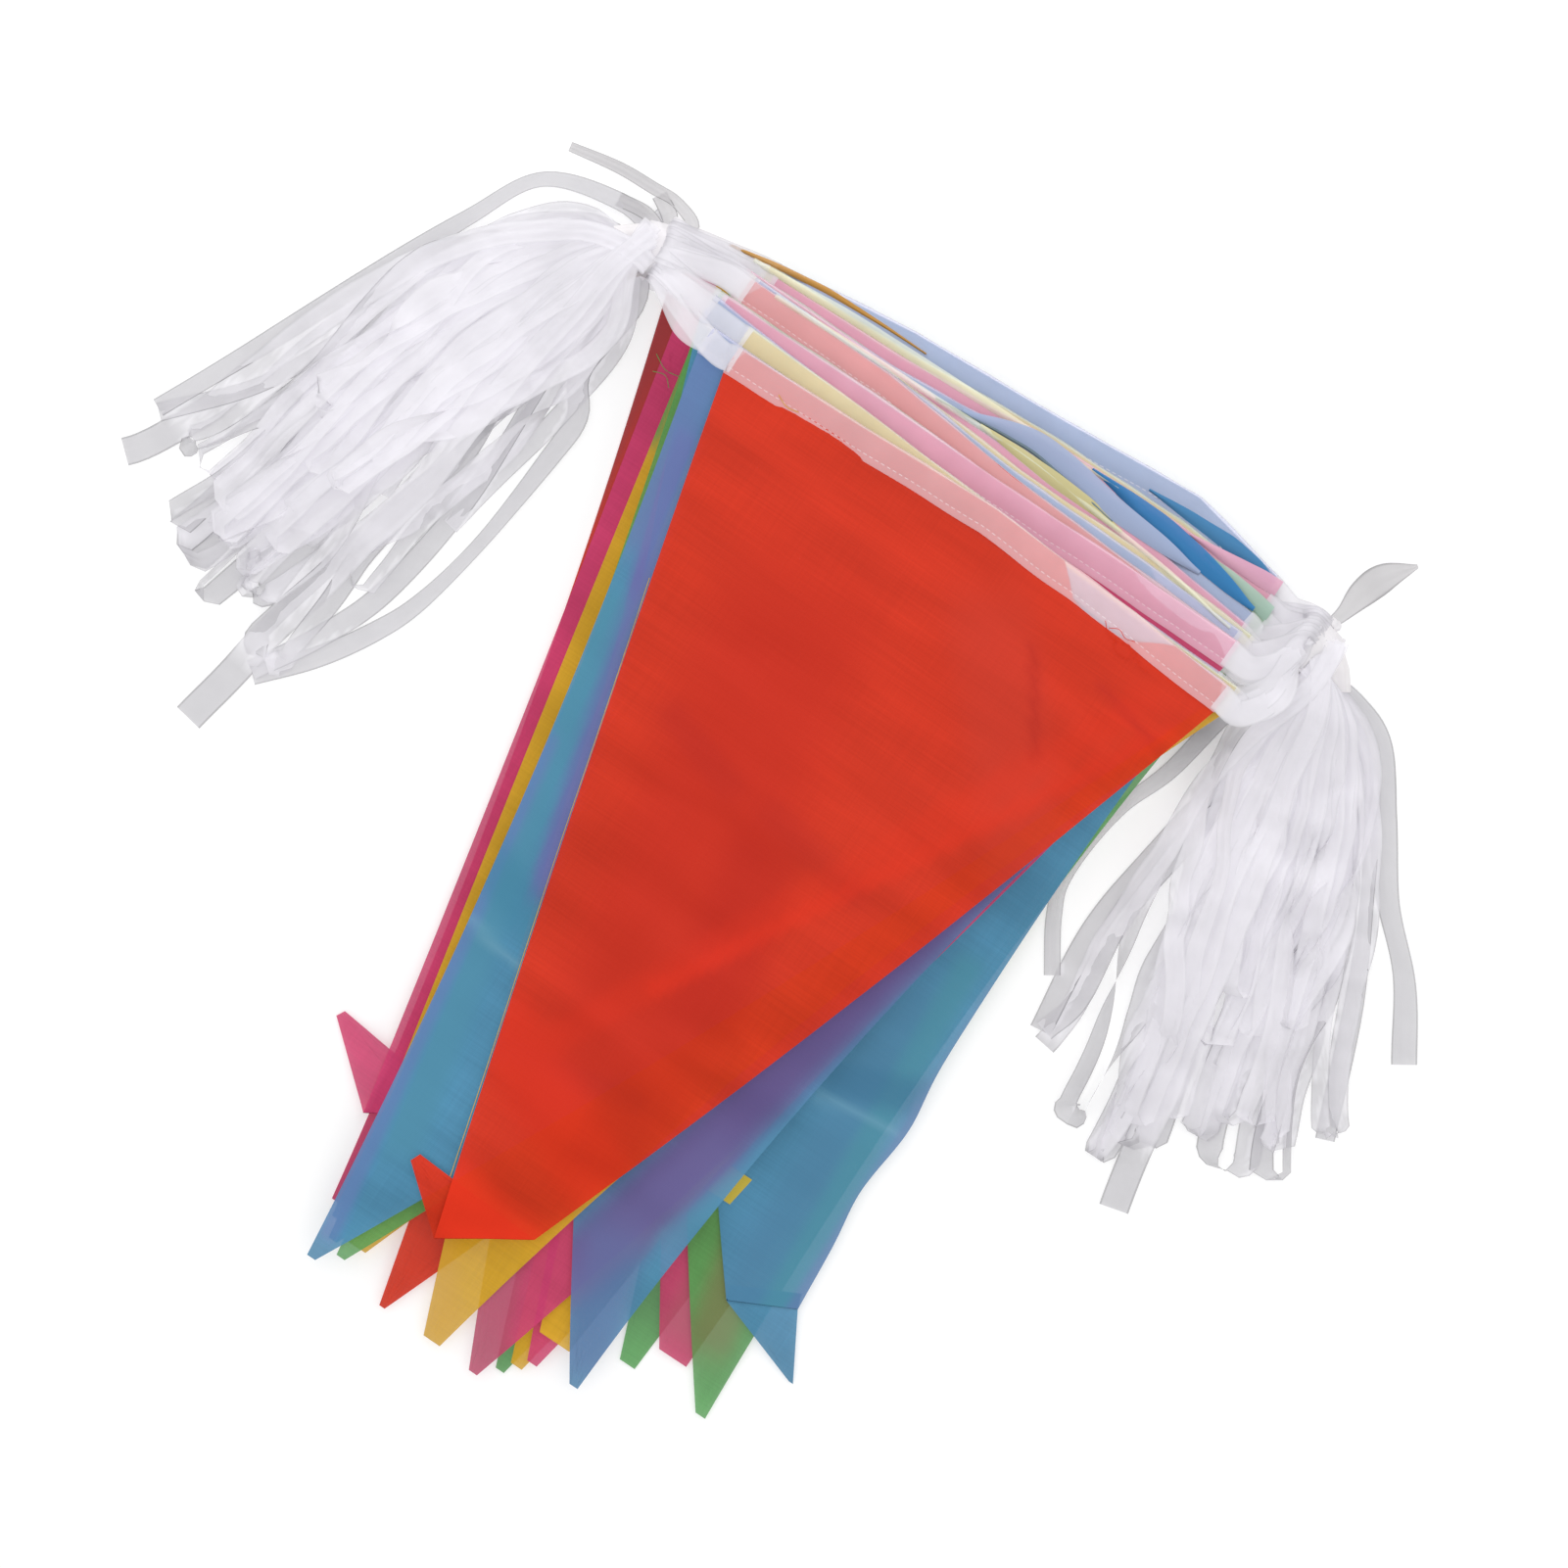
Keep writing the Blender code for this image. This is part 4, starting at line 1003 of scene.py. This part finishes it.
# %% A pile that remembers what was laid
class Pile:
    """Height and number of layers of what is laid at one side, on a raster."""
    CELL = 1.5                # size of a cell in millimetres
    LAYER = 0.16              # air between two strips
    DROOP = 0.30              # steepest fall along a strip
    THICK = 1.3               # so many layers count as a full pile
    SINK = 0.15               # share of a strip's relief that lifts the strips laid on it

    def __init__(self, low, high):
        self.low = np.array(low, float)
        self.size = np.ceil((np.array(high) - self.low) / self.CELL).astype(int)
        self.height = np.zeros(self.size)
        self.count = np.zeros(self.size)

    def cells(self, plan):
        """Cells under plan points."""
        cell = ((plan - self.low) / self.CELL).astype(int)
        cell = np.clip(cell, 0, self.size - 1)
        return cell[..., 0], cell[..., 1]

    def lay(self, plan, relief):
        """Heights and pile shares of a strip laid on what is there, which it then joins."""
        here = self.cells(plan)
        base = self.height[here].max(axis=1)
        gaps = step_lengths(plan.mean(axis=1)) * self.DROOP
        for i in range(1, len(base)):
            base[i] = max(base[i], base[i - 1] - gaps[i - 1])
        for i in range(len(base) - 2, -1, -1):
            base[i] = max(base[i], base[i + 1] - gaps[i])
        z = base[:, None] + relief + self.LAYER
        top = base[:, None] + relief * self.SINK + self.LAYER
        share = np.clip(self.count[here] / self.THICK, 0, 1)
        near = np.clip(self.count[here].mean(axis=1, keepdims=True) / self.THICK, 0, 1)
        covered = np.zeros(self.size, bool)
        tops = np.zeros(self.size)
        for t in (0.0, 0.34, 0.67):
            cell = self.cells(plan[:-1] * (1 - t) + plan[1:] * t)
            covered[cell] = True
            np.maximum.at(tops, cell, top[:-1] * (1 - t) + top[1:] * t)
        self.height = np.maximum(self.height, np.where(covered, tops, 0))
        self.count += covered
        return z, (share + near) / 2

# %% [markdown]
# ## Loose threads
# The pennants are cut, not hemmed, so single yarns have come out at their edges.  A thread is a
# chain of little bars, like the stitches, along a smooth path on top of the pile.

# %% Frayed threads
# plan points of each thread
FRAYED = (
    ("red", ((47, 1.6), (50, -1.2), (54, -1.8), (57, -0.4), (60, -2.6))),
    ("red", ((49, 0.4), (52, 1.8), (55, 0.6), (58, 1.4))),
    ("red", ((52, -0.6), (54, -4.0), (58, -4.6), (61, -3.0))),
    ("red", ((60, -1.0), (63, -3.8), (67, -4.2))),
    ("green", ((-113, -6.5), (-108, -9.0), (-103, -8.4))),
    ("green", ((-111, -11.5), (-107, -10.5), (-104, -13.0))),
    ("magenta", ((-110, -4.0), (-107, -8.5), (-106, -13.5))),
    ("yellow", ((-74, 3.0), (-70, 1.4), (-66, 2.0))),
    ("yellow", ((-75.3, -66), (-70.7, -82.3), (-62.0, -114), (-53.1, -147), (-43.0, -183), (-32.4, -220.5),
                (-24.2, -250))),
)
THREAD_BAR = (0.20, 0.16)                # width and thickness of a bar
THREAD_POINTS = 24
THREAD_LIFT = 0.25                       # height of a thread over the pile
BAR_OVERLAP = 1.25                       # length of a bar as a share of its step


def make_frayed():
    """The threads that have come loose from the cut edges."""
    solids = [Solid("pennant_" + row["name"]) for row in ROWS] + BINDINGS
    for dye in ("red", "green", "magenta", "yellow"):
        bm = bmesh.new()
        for colour, points in FRAYED:
            if colour == dye:
                curve = smooth_path(points, THREAD_POINTS)
                z = smoothed([header_top(solids, x, y) for x, y in curve], 2) + THREAD_LIFT
                for a, b, za, zb in zip(curve, curve[1:], z, z[1:]):
                    length = float(np.linalg.norm(b - a))
                    size = (length * BAR_OVERLAP, *THREAD_BAR)
                    stitch_box(bm, np.array((*(a + b) / 2, (za + zb) / 2)), (b - a) / length, size)
        mesh = finished_mesh(bm, dye + "_threads", CLOTH[dye])
        tint_points(mesh, NO_TINT)
        add_piece(dye + "_threads", mesh, dye + "_cloth")


make_frayed()
print("loose threads:", len(FRAYED))

# %% [markdown]
# ## The necks
# The tie pulls the strips together into a bunch about 16 mm across.  Every strip passes through
# it somewhere on an oval, so its place there is an angle round that oval: the strips from the
# front pennants run over the top, and those from the back ones along the side and below.

# %% Neck ovals and lumps
# sections of each head: x, y, lowest point, height, half width
HEADS = {
    "left": ((-122.8, 20.0, 0.02, 28.2, 9.0), (-125.0, 20.1, 0.1, 26.0, 9.0),
             (-127.2, 19.9, 1.6, 17.0, 8.2), (-131.4, 19.2, 1.6, 15.5, 7.8),
             (-135.2, 17.0, 0.1, 13.5, 8.4), (-143.0, 9.6, 0.02, 9.0, 9.6)),
    "right": ((96.3, 29.8, 0.02, 28.2, 9.5), (99.2, 30.3, 0.1, 26.0, 9.5),
              (101.8, 30.4, 1.6, 17.0, 8.8), (106.4, 30.0, 1.6, 15.5, 8.4),
              (111.0, 28.0, 0.1, 13.5, 8.2), (117.8, 17.6, 0.02, 9.0, 9.6)),
}
LUMP_ROUND = 96
LUMP_ROWS = 30
PLEATS = 9
SOFT_CORNER = 0.8             # 1 is an oval section, less is a squarer one


def section(side, share, grow=0.0):
    """Centre, unit vector across, lowest point, height and half width at a share of a head."""
    table = np.array(HEADS[side])
    where = share * (len(table) - 1)
    x, y, low, tall, half = (np.interp(where, range(len(table)), table[:, k]) for k in range(5))
    k = min(int(where), len(table) - 2)
    ahead = table[k + 1, :2] - table[k, :2]
    ahead /= np.linalg.norm(ahead)
    return np.array((x, y)), np.array((-ahead[1], ahead[0])), low - grow, tall + 2 * grow, half + grow


def lump_rows(side, start, end, rows, grow, pleat, seed):
    """Layout points round a head between two shares of its length."""
    turn = np.linspace(0, 2 * math.pi, LUMP_ROUND)
    c, s = (np.sign(v) * abs(v) ** SOFT_CORNER for v in (np.cos(turn), np.sin(turn)))
    out = []
    for k, share in enumerate(np.linspace(start, end, rows)):
        centre, across, low, tall, half = section(side, share, grow)
        press = (abs(np.sin(turn * PLEATS / 2 + 0.05 * k + seed)) - 1) * pleat
        press += noise_at(np.cos(turn) * 2, np.sin(turn) * 2, k * 0.1 + seed) * pleat
        plan = centre + across * ((half + press) * c)[:, None]
        out.append(np.column_stack((plan, np.maximum(low + tall / 2 + (tall / 2 + press) * s, 0.1))))
    return np.array(out)


def make_lump(side):
    """The pleated bunch inside one neck."""
    grid = lump_rows(side, start=0.36, end=0.92, rows=LUMP_ROWS, grow=-0.5, pleat=0.35, seed=0.0)
    uv = uv_grid(np.linspace(0, PLEATS, LUMP_ROUND), np.linspace(0, 3, LUMP_ROWS))
    name = side + "_neck"
    mesh = grid_mesh(name, [to_frame(grid)], NECK_TAPE, [uv], [np.ones(grid.shape[:2])])
    piece = add_piece(name, mesh, "white_tape", side + "_tassel")


for side in ("left", "right"):
    make_lump(side)

# %% Lead the tape from the pennants into the necks
LEAD_ROWS = 40
NECK_WIDTH = 6.4              # width of a bunched strip in the neck
LAYER = 1.4                   # height from one layer of the pile to the next
STRAIGHT_ON = 7.0             # how far a strip goes on in line with its header
SLOPE_REACH = 12.0            # length of header that gives that line
LEAD_PILE = 0.9               # how white the leads are: the share of a full pile
NECK_ANGLES = (150.0, -25.0)  # where the front and the back pennant's strips lie in the neck


def neck_point(side, share, angle):
    """Plan and height of a place on a neck's oval, the angle measured from the +Y side."""
    centre, across, low, tall, half = section(side, share)
    if across[1] < 0:
        across = -across
    turn = math.radians(angle)
    plan = centre + across * half * math.cos(turn)
    return (*plan, low + tall / 2 * (1 + math.sin(turn)))


def eased(t):
    """0 to 1 with a gentle start and end."""
    return t * t * (3 - 2 * t)


def lead_path(side, number, row):
    """Layout points along the strip from a header's corner into the neck."""
    outward = -1 if side == "left" else 1
    x, y = row[side][0], top_edge(row, row[side][0]) + TAPE / 2
    inner_x = x - outward * SLOPE_REACH
    slope = (y - TAPE / 2 - top_edge(row, inner_x)) / SLOPE_REACH
    level = (len(ROWS) - 1 - number) * LAYER + HALF_SOLID
    angle = np.interp(number, (0, len(ROWS) - 1), NECK_ANGLES)
    near, neck = (neck_point(side, share, angle) for share in (0.3, 0.5))
    on = STRAIGHT_ON + 1.5 * math.sin(number * 2.4)
    points = [(x - outward * 1.5, y - slope * 1.5, level + 0.5), (x, y, level + 0.45),
              (x + outward * on, y + slope * on, level + 0.2), near, neck]
    if side == "right":
        points.insert(3, (x + outward * (on + 6), y + (near[1] - y) * 0.45, (level + near[2]) / 2))
    return smooth_path(points, LEAD_ROWS)


def make_leads(side):
    """The strips from the headers' corners to the neck."""
    grids, uvs, piles, length = [], [], [], 0.0
    for number, row in enumerate(ROWS):
        points = lead_path(side, number, row)
        t = np.linspace(0, 1, LEAD_ROWS)
        ease = eased(t)
        widths = TAPE + (NECK_WIDTH - TAPE) * ease
        twist = 0.5 * np.sin(t * 6 + number * 1.3) * ease
        plan, relief = tape_strip(points[:, :2], widths, twist, 0.12 * ease, number * 2.1)
        z = points[:, 2:] + relief - relief.mean(axis=1, keepdims=True)
        grids.append(to_frame(np.dstack((plan, np.maximum(z, FLOOR_GAP)))))
        uvs.append(strip_uv(points[:, :2]))
        piles.append(np.full(z.shape, LEAD_PILE))
        length += step_lengths(points[:, :2]).sum()
    name = side + "_leads"
    piece = add_piece(name, grid_mesh(name, grids, LOOP_TAPE, uvs, piles), "white_tape",
                      side + "_tassel")


for side in ("left", "right"):
    make_leads(side)

# %% [markdown]
# ## The loops
# Bunched at the neck, each stretch of bare tape is a loop that hangs down, turns at its end and
# comes back.  Each leg leaves the neck in its own lane and swings into line with the others, the
# way hair falls from a comb.  At its end a loop is either folded flat or turned over on edge.
# The table has the loops whose ends show.  Shorter ones fill the inside of the bunch.

# %% Loop tables
LOOP_ROOT = {"left": (-136.5, 15.5), "right": (112.5, 24.0)}
LANES = {"left": (-188.0, 15.75), "right": (-12.0, -13.0)}   # angle of lane 0 and between lanes
LAST_LANE = {"left": 8.0, "right": 9.0}
# side, end, lane of both legs, width, distance between the legs at the end, 1 if turned on edge
LOOPS = (
    ("left", (-217, -110), 1.0, 1.4, 8.0, 5, 1), ("left", (-208, -133), 1.8, 2.4, 8.6, 6, 0),
    ("left", (-199, -139), 2.6, 3.2, 8.6, 8, 0), ("left", (-188, -147), 3.6, 4.2, 8.6, 5, 0),
    ("left", (-176, -137), 4.8, 5.4, 8.6, 9, 1), ("left", (-161, -152), 5.8, 6.6, 8.0, 12, 1),
    ("left", (-195, -128), 2.6, 3.4, 8.6, 4, 0), ("left", (-181, -128), 4.5, 5.4, 8.6, 6, 1),
    ("left", (-150, -118), 6.6, 7.4, 7.0, 8, 0),
    ("right", (187, -111), 1.8, 2.4, 8.6, 8, 0), ("right", (173, -117), 2.6, 3.4, 8.6, 12, 1),
    ("right", (160, -113), 3.8, 4.4, 8.6, 5, 0), ("right", (148, -124), 4.8, 5.4, 8.6, 4, 0),
    ("right", (137, -136), 5.8, 6.4, 8.6, 3, 0), ("right", (124, -129), 6.8, 7.4, 8.6, 6, 1),
    ("right", (181, -104), 2.4, 1.7, 8.6, 5, 0), ("right", (143, -128), 5.4, 4.5, 8.6, 7, 0),
    ("right", (194, -90), 1.0, 1.6, 7.5, 6, 1),
)
# side, end of the tape, lane, width
TAPE_ENDS = (
    ("left", (-232, -123), 1.6, 8.8), ("left", (-170, -180), 5.6, 9.6),
    ("right", (151, -146), 4.6, 9.4), ("right", (105, -116), 7.6, 7.5),
)
# strands that lie apart from the bunch: side, width, plan from the neck to the end
APART = (
    ("left", 6.5, ((-133.5, 24.3), (-148.7, 26.2), (-172.3, 18.4), (-184.8, -4.5), (-200.5, -38.6),
                   (-217.1, -76.2), (-231.0, -106))),
    ("left", 6.5, ((-138, 14), (-147.8, 6.7), (-170, -10), (-188.5, -40.3), (-197.1, -60.2),
                   (-209.9, -84), (-230.0, -107))),
    ("left", 7.0, ((-133, 14), (-127, 2), (-129.5, -23.3), (-122.4, -36), (-122.4, -51.4),
                   (-125.3, -84.1), (-130.4, -109.7), (-136.7, -125.1), (-147.3, -142.1),
                   (-161, -158))),
    ("left", 7.0, ((-138, 12), (-138, -20), (-136, -70), (-141, -112), (-150, -136), (-162, -157))),
    ("left", 6.0, ((-134, 12), (-124.5, -8), (-126.5, -34), (-131, -60), (-136, -86))),
    ("right", 5.5, ((108, 22), (96, 6), (90.1, -23.6), (83.7, -43.1), (81.3, -68.5), (85.1, -81.2),
                    (95, -97))),
    ("right", 7.5, ((112.6, 14), (110, -10), (102.3, -30.5), (99, -56.6), (97.8, -81.7),
                    (101.5, -113))),
    ("right", 7.5, ((112, 18), (109, -14), (105.9, -40), (102.5, -70), (106, -98), (102.5, -112.5))),
    ("right", 8.6, ((113, 26), (125.6, 24.6), (138.8, 18.4), (152.4, 0.4), (167.4, -19.6),
                    (185.7, -37.6), (200.3, -59.2))),
    ("right", 6.5, ((114, 24), (127, 19), (141, 9), (157, -14), (176, -50), (193, -92))),
)
FILLERS = {"left": 30, "right": 26}      # shorter loops inside the bunch
RASTERS = {"left": ((-245, -195), (-110, 45)), "right": ((75, -160), (215, 50))}
LEG_ROWS = 56
WOBBLE = 1.6                  # small bends of a leg, on top of its long sway
TURN_ROWS = 10
TURN_PLEAT = 0.1              # height of the pleats in a turned end
SWING_START = 18.0            # radius where a leg begins to swing into line
ROOT_REACH = 26.0             # radius where a leg has left the neck's oval behind
NECK_OUT = 0.62               # share of the head where the legs come out of the neck

# %% [markdown]
# ## Legs and ends of the loops
# A leg starts in its lane at the neck, swings into line with its end and sways a little on its
# way, and here and there it flips over, as ribbon does.  Two legs whose ends are joined are a
# loop.  Where the loop stands on edge, half of the turn is added to each leg.

# %% One leg of a loop
def chance(*seeds):
    """A fixed number from 0 to 1 for some seeds."""
    return math.modf(abs(math.sin(sum(s * f for s, f in zip(seeds, (12.9898, 78.233, 37.719)))))
                     * 43758.5453)[0]


def leg_path(side, end, lane, sway, seed):
    """Plan points of one leg from the neck to its end, and shares of the way."""
    root = np.array(LOOP_ROOT[side])
    way = np.subtract(end, root)
    reach, last = math.hypot(*way), math.atan2(way[1], way[0])
    zero, step = np.radians(LANES[side])
    first = zero + lane * step
    first += 2 * math.pi * round((last - first) / (2 * math.pi))
    r = np.linspace(0, reach, LEG_ROWS)
    t = np.clip((r - SWING_START) / (reach - SWING_START), 0, 1)
    angle = last + (first - last) * (1 - t) ** 2
    swing, wobble = noise_at(t * 2.3, seed * 7.3, 1.5), noise_at(t * 8.0, seed * 3.1, 9.5)
    aside = (sway * swing + WOBBLE * wobble) * np.sin(t * math.pi) ** 0.7
    angle = angle + aside / np.maximum(r, 20)
    path = root + r[:, None] * np.stack((np.cos(angle), np.sin(angle)), axis=1)
    spread_out = 90 + 75 * (1 - 2 * lane / LAST_LANE[side])
    start = np.array(neck_point(side, NECK_OUT, spread_out)[:2])
    ease = eased(np.clip(r / ROOT_REACH, 0, 1))[:, None]
    ahead = unit_rows((root - start)[None])[0]
    return (start + ahead * r[:, None]) * (1 - ease) + path * ease, t


def leg_shape(t, width, seed, flips=0.35):
    """Widths, twist and pleat along a leg, which flips over now and then on its way."""
    widths = NECK_WIDTH + (width - NECK_WIDTH) * np.clip(t * 2.2, 0, 1)
    twist = 0.5 + 0.35 * np.sin(t * 5.0 + seed * 1.7)
    for k in range(2):
        if chance(seed, k) < flips:
            where = 0.25 + 0.65 * chance(seed, k, 5)
            twist = twist + (math.pi - 1.0) / (1 + np.exp(-(t - where) * (14 + 14 * chance(k, seed))))
    return widths, twist * np.clip(t * 5, 0, 1), 0.16 * (1 - t) ** 3 + 0.06


def lay_strip(pile, path, widths, twist, pleat, seed):
    """One strip laid on a pile: its layout points, its coordinates and its pile shares."""
    plan, relief = tape_strip(path, widths, twist, pleat, seed)
    z, share = pile.lay(plan, relief)
    return np.dstack((plan, z)), strip_uv(path), share

# %% A whole loop
def turned_end(legs, width):
    """The legs of a loop that stands on edge at its end, each with half of the turn added."""
    down, up = legs[0][0], legs[1][0]
    middle, radius = (down[-1] + up[-1]) / 2, np.linalg.norm(down[-1] - up[-1]) / 2
    ahead = unit_rows((down[-1] - down[-4])[None])[0]
    start = (down[-1] - middle) / max(radius, 0.1)
    turn = np.linspace(0, math.pi, TURN_ROWS)[1:-1, None]
    arc = middle + (start * np.cos(turn) + ahead * np.sin(turn)) * max(radius, 1.5) - ahead * radius
    half = len(arc) // 2
    over = np.linspace(0, math.pi / 2, half + 1)[1:]
    return [(np.concatenate((path - ahead * radius, part)), np.r_[widths, [width] * half],
             np.r_[twist, twist[-1] + over], np.r_[pleat, [TURN_PLEAT] * half])
            for (path, widths, twist, pleat), part in zip(legs, (arc[:half], arc[half:][::-1]))]


def lay_loop(pile, side, end, lanes, width, apart, on_edge, seed, sway, flips):
    """A loop: down one leg, round its end and back up the other."""
    way = np.subtract(end, LOOP_ROOT[side])
    aside = np.array((-way[1], way[0])) / math.hypot(*way) * apart / 2
    if lanes[0] > lanes[1]:
        aside = -aside
    legs = []
    for k, lane in enumerate(lanes):
        path, t = leg_path(side, end + aside * (1 - 2 * k), lane, sway, seed + k)
        legs.append((path, *leg_shape(t, width, seed + k, flips)))
    if on_edge:
        legs = turned_end(legs, width)
    first, second = (lay_strip(pile, *leg, seed + k) for k, leg in enumerate(legs))
    first[0][-1] = second[0][-1] = (first[0][-1] + second[0][-1]) / 2
    return [first, second]

# %% Lay the loops
def filler_loops(side):
    """Shorter loops whose ends lie inside the bunch."""
    table = [row for row in LOOPS if row[0] == side]
    lanes = [(row[2] + row[3]) / 2 for row in table[:8]]
    ends = np.array([row[1] for row in table[:8]], float)
    out = []
    for k in range(FILLERS[side]):
        lane = 1.2 + (LAST_LANE[side] - 2.4) * ((k * 0.618) % 1)
        reach = 0.66 + 0.30 * chance(k, 3)
        edge = np.array([np.interp(lane, lanes, ends[:, axis]) for axis in (0, 1)])
        end = np.array(LOOP_ROOT[side]) + (edge - LOOP_ROOT[side]) * reach
        out.append((side, end, lane, lane + 1.2 - 2.4 * chance(k, 9), 5.0 + 3.4 * chance(k, 4),
                    2 + 10 * chance(k, 1), 0))
    return out


def make_loops(side):
    """All the loops and loose ends of one side."""
    pile = Pile(*RASTERS[side])
    own = [row for row in LOOPS if row[0] == side]
    strips = []
    for k, (where, width, points) in enumerate(APART):
        if where == side:
            path = smooth_path(points, LEG_ROWS + 14)
            t = np.linspace(0, 1, len(path))
            widths = NECK_WIDTH + (width - NECK_WIDTH) * np.clip(t * 3, 0, 1)
            twist = 0.4 + 0.5 * np.sin(t * 7 + k * 1.9) * np.sin(t * math.pi)
            strips.append(lay_strip(pile, path, widths, twist, 0.06 + 0 * t, k))
    fill = filler_loops(side)
    # in the order of laying, each with the sway of its legs in millimetres and its share of flips
    order = ([(row, 7.0, 0.4) for row in own] + [(row, 10.0, 0.15) for row in fill[::2]]
             + [(row, 14.0, 0.4) for row in own[2:7:2]] + [(row, 8.0, 0.1) for row in fill[1::2]])
    for k, ((_, end, lane, other, width, apart, on_edge), sway, flips) in enumerate(order):
        strips += lay_loop(pile, side, np.array(end, float), (lane, other), width, apart, on_edge,
                           k * 2.0 + (0.5 if side == "left" else 0.0), sway, flips)
    for k, (where, end, lane, width) in enumerate(TAPE_ENDS):
        if where == side:
            path, t = leg_path(side, end, lane, 4.0, 60 + k)
            widths, twist, pleat = leg_shape(t, width, 60 + k, 0)
            strips.append(lay_strip(pile, path, widths, twist * 0.4 * (1 - t), pleat, k))
    name = side + "_loops"
    mesh = grid_mesh(name, [to_frame(points) for points, _, _ in strips], LOOP_TAPE,
                     [uv for _, uv, _ in strips], [share for _, _, share in strips])
    piece = add_piece(name, mesh, "white_tape", side + "_tassel")


for side in ("left", "right"):
    make_loops(side)

# %% [markdown]
# ## The ties
# A spare piece of the same tape is wound round each neck and knotted.  The winding is a crumpled
# band just proud of the neck, the knot a small twisted lump, and the ends lie on the surface.

# %% Wind, knot and lay the ties
KNOTS = {"left": (-129.2, 29.6, 10.0, 2.4), "right": (106.0, 40.2, 10.0, 2.4)}
# side, points of a free end: x, y, height of the underside, half width
TIE_ENDS = (
    ("left", ((-126.8, 27, 13, 2.2), (-125.6, 32.4, 7, 2.4), (-134, 35.6, 3, 2.0),
              (-142.2, 35.4, 0.6, 2.0), (-154.8, 34.7, 0, 1.9), (-170.8, 31.7, 0, 1.5))),
    ("left", ((-129.7, 26.5, 12, 2.4), (-133.5, 31, 5, 2.6), (-139.6, 34.6, 0.8, 2.4))),
    ("left", ((-132.3, 25.5, 9.5, 2.0), (-140, 27.6, 3, 2.2), (-149.4, 26.6, 0.2, 2.2))),
    ("right", ((105.0, 39.8, 12, 2.0), (106.8, 45.5, 6, 2.8), (108.5, 54, 0, 4.4), (111.5, 62, 0, 4.4),
               (118, 70.5, 0, 0.6))),
)
KNOT_ROUND, KNOT_ROWS = 28, 16
WIND_ROWS = 12
TIE_LIFT = 0.3                # how far its ends lie over the surface


def knot_grid(x, y, z, radius):
    """A small lump with a twisted furrow."""
    turn = np.linspace(0, 2 * math.pi, KNOT_ROUND)
    rows = []
    for up in np.linspace(-math.pi / 2, math.pi / 2, KNOT_ROWS):
        r = radius * (1 + 0.14 * np.sin(3 * turn + up * 3)) * math.cos(up)
        rows.append(np.column_stack((x + r * np.cos(turn), y + r * np.sin(turn),
                                     np.full(len(turn), z + radius * 0.95 * math.sin(up)))))
    return np.array(rows)


def make_tie(side):
    """The tie of one neck."""
    band = lump_rows(side, start=0.42, end=0.66, rows=WIND_ROWS, grow=1.1, pleat=0.25, seed=1.3)
    knot = knot_grid(*KNOTS[side])
    grids = [band, knot]                  # both lie thick, the free ends lie single
    uvs = [uv_grid(np.linspace(0, 5, grid.shape[1]), np.linspace(0, 1, len(grid)))[..., ::-1]
           for grid in grids]
    for where, points in TIE_ENDS:
        if where == side:
            curve = smooth_path(points, LEAD_ROWS)
            t = np.linspace(0, 1, LEAD_ROWS)
            plan, relief = tape_strip(curve[:, :2], curve[:, 3] * 2,
                                      0.6 * np.sin(t * 4 + 1) * (1 - t), 0.12 + 0 * t, 1.0)
            grids.append(np.dstack((plan, curve[:, 2:3] + relief + TIE_LIFT)))
            uvs.append(strip_uv(curve[:, :2]))
    name = side + "_tie_cloth"
    mesh = grid_mesh(name, [to_frame(g) for g in grids], TIE_TAPE, uvs,
                     [np.full(g.shape[:2], float(g is band or g is knot)) for g in grids])
    piece = add_piece(name, mesh, "white_tape", side + "_tie")


for side in ("left", "right"):
    make_tie(side)
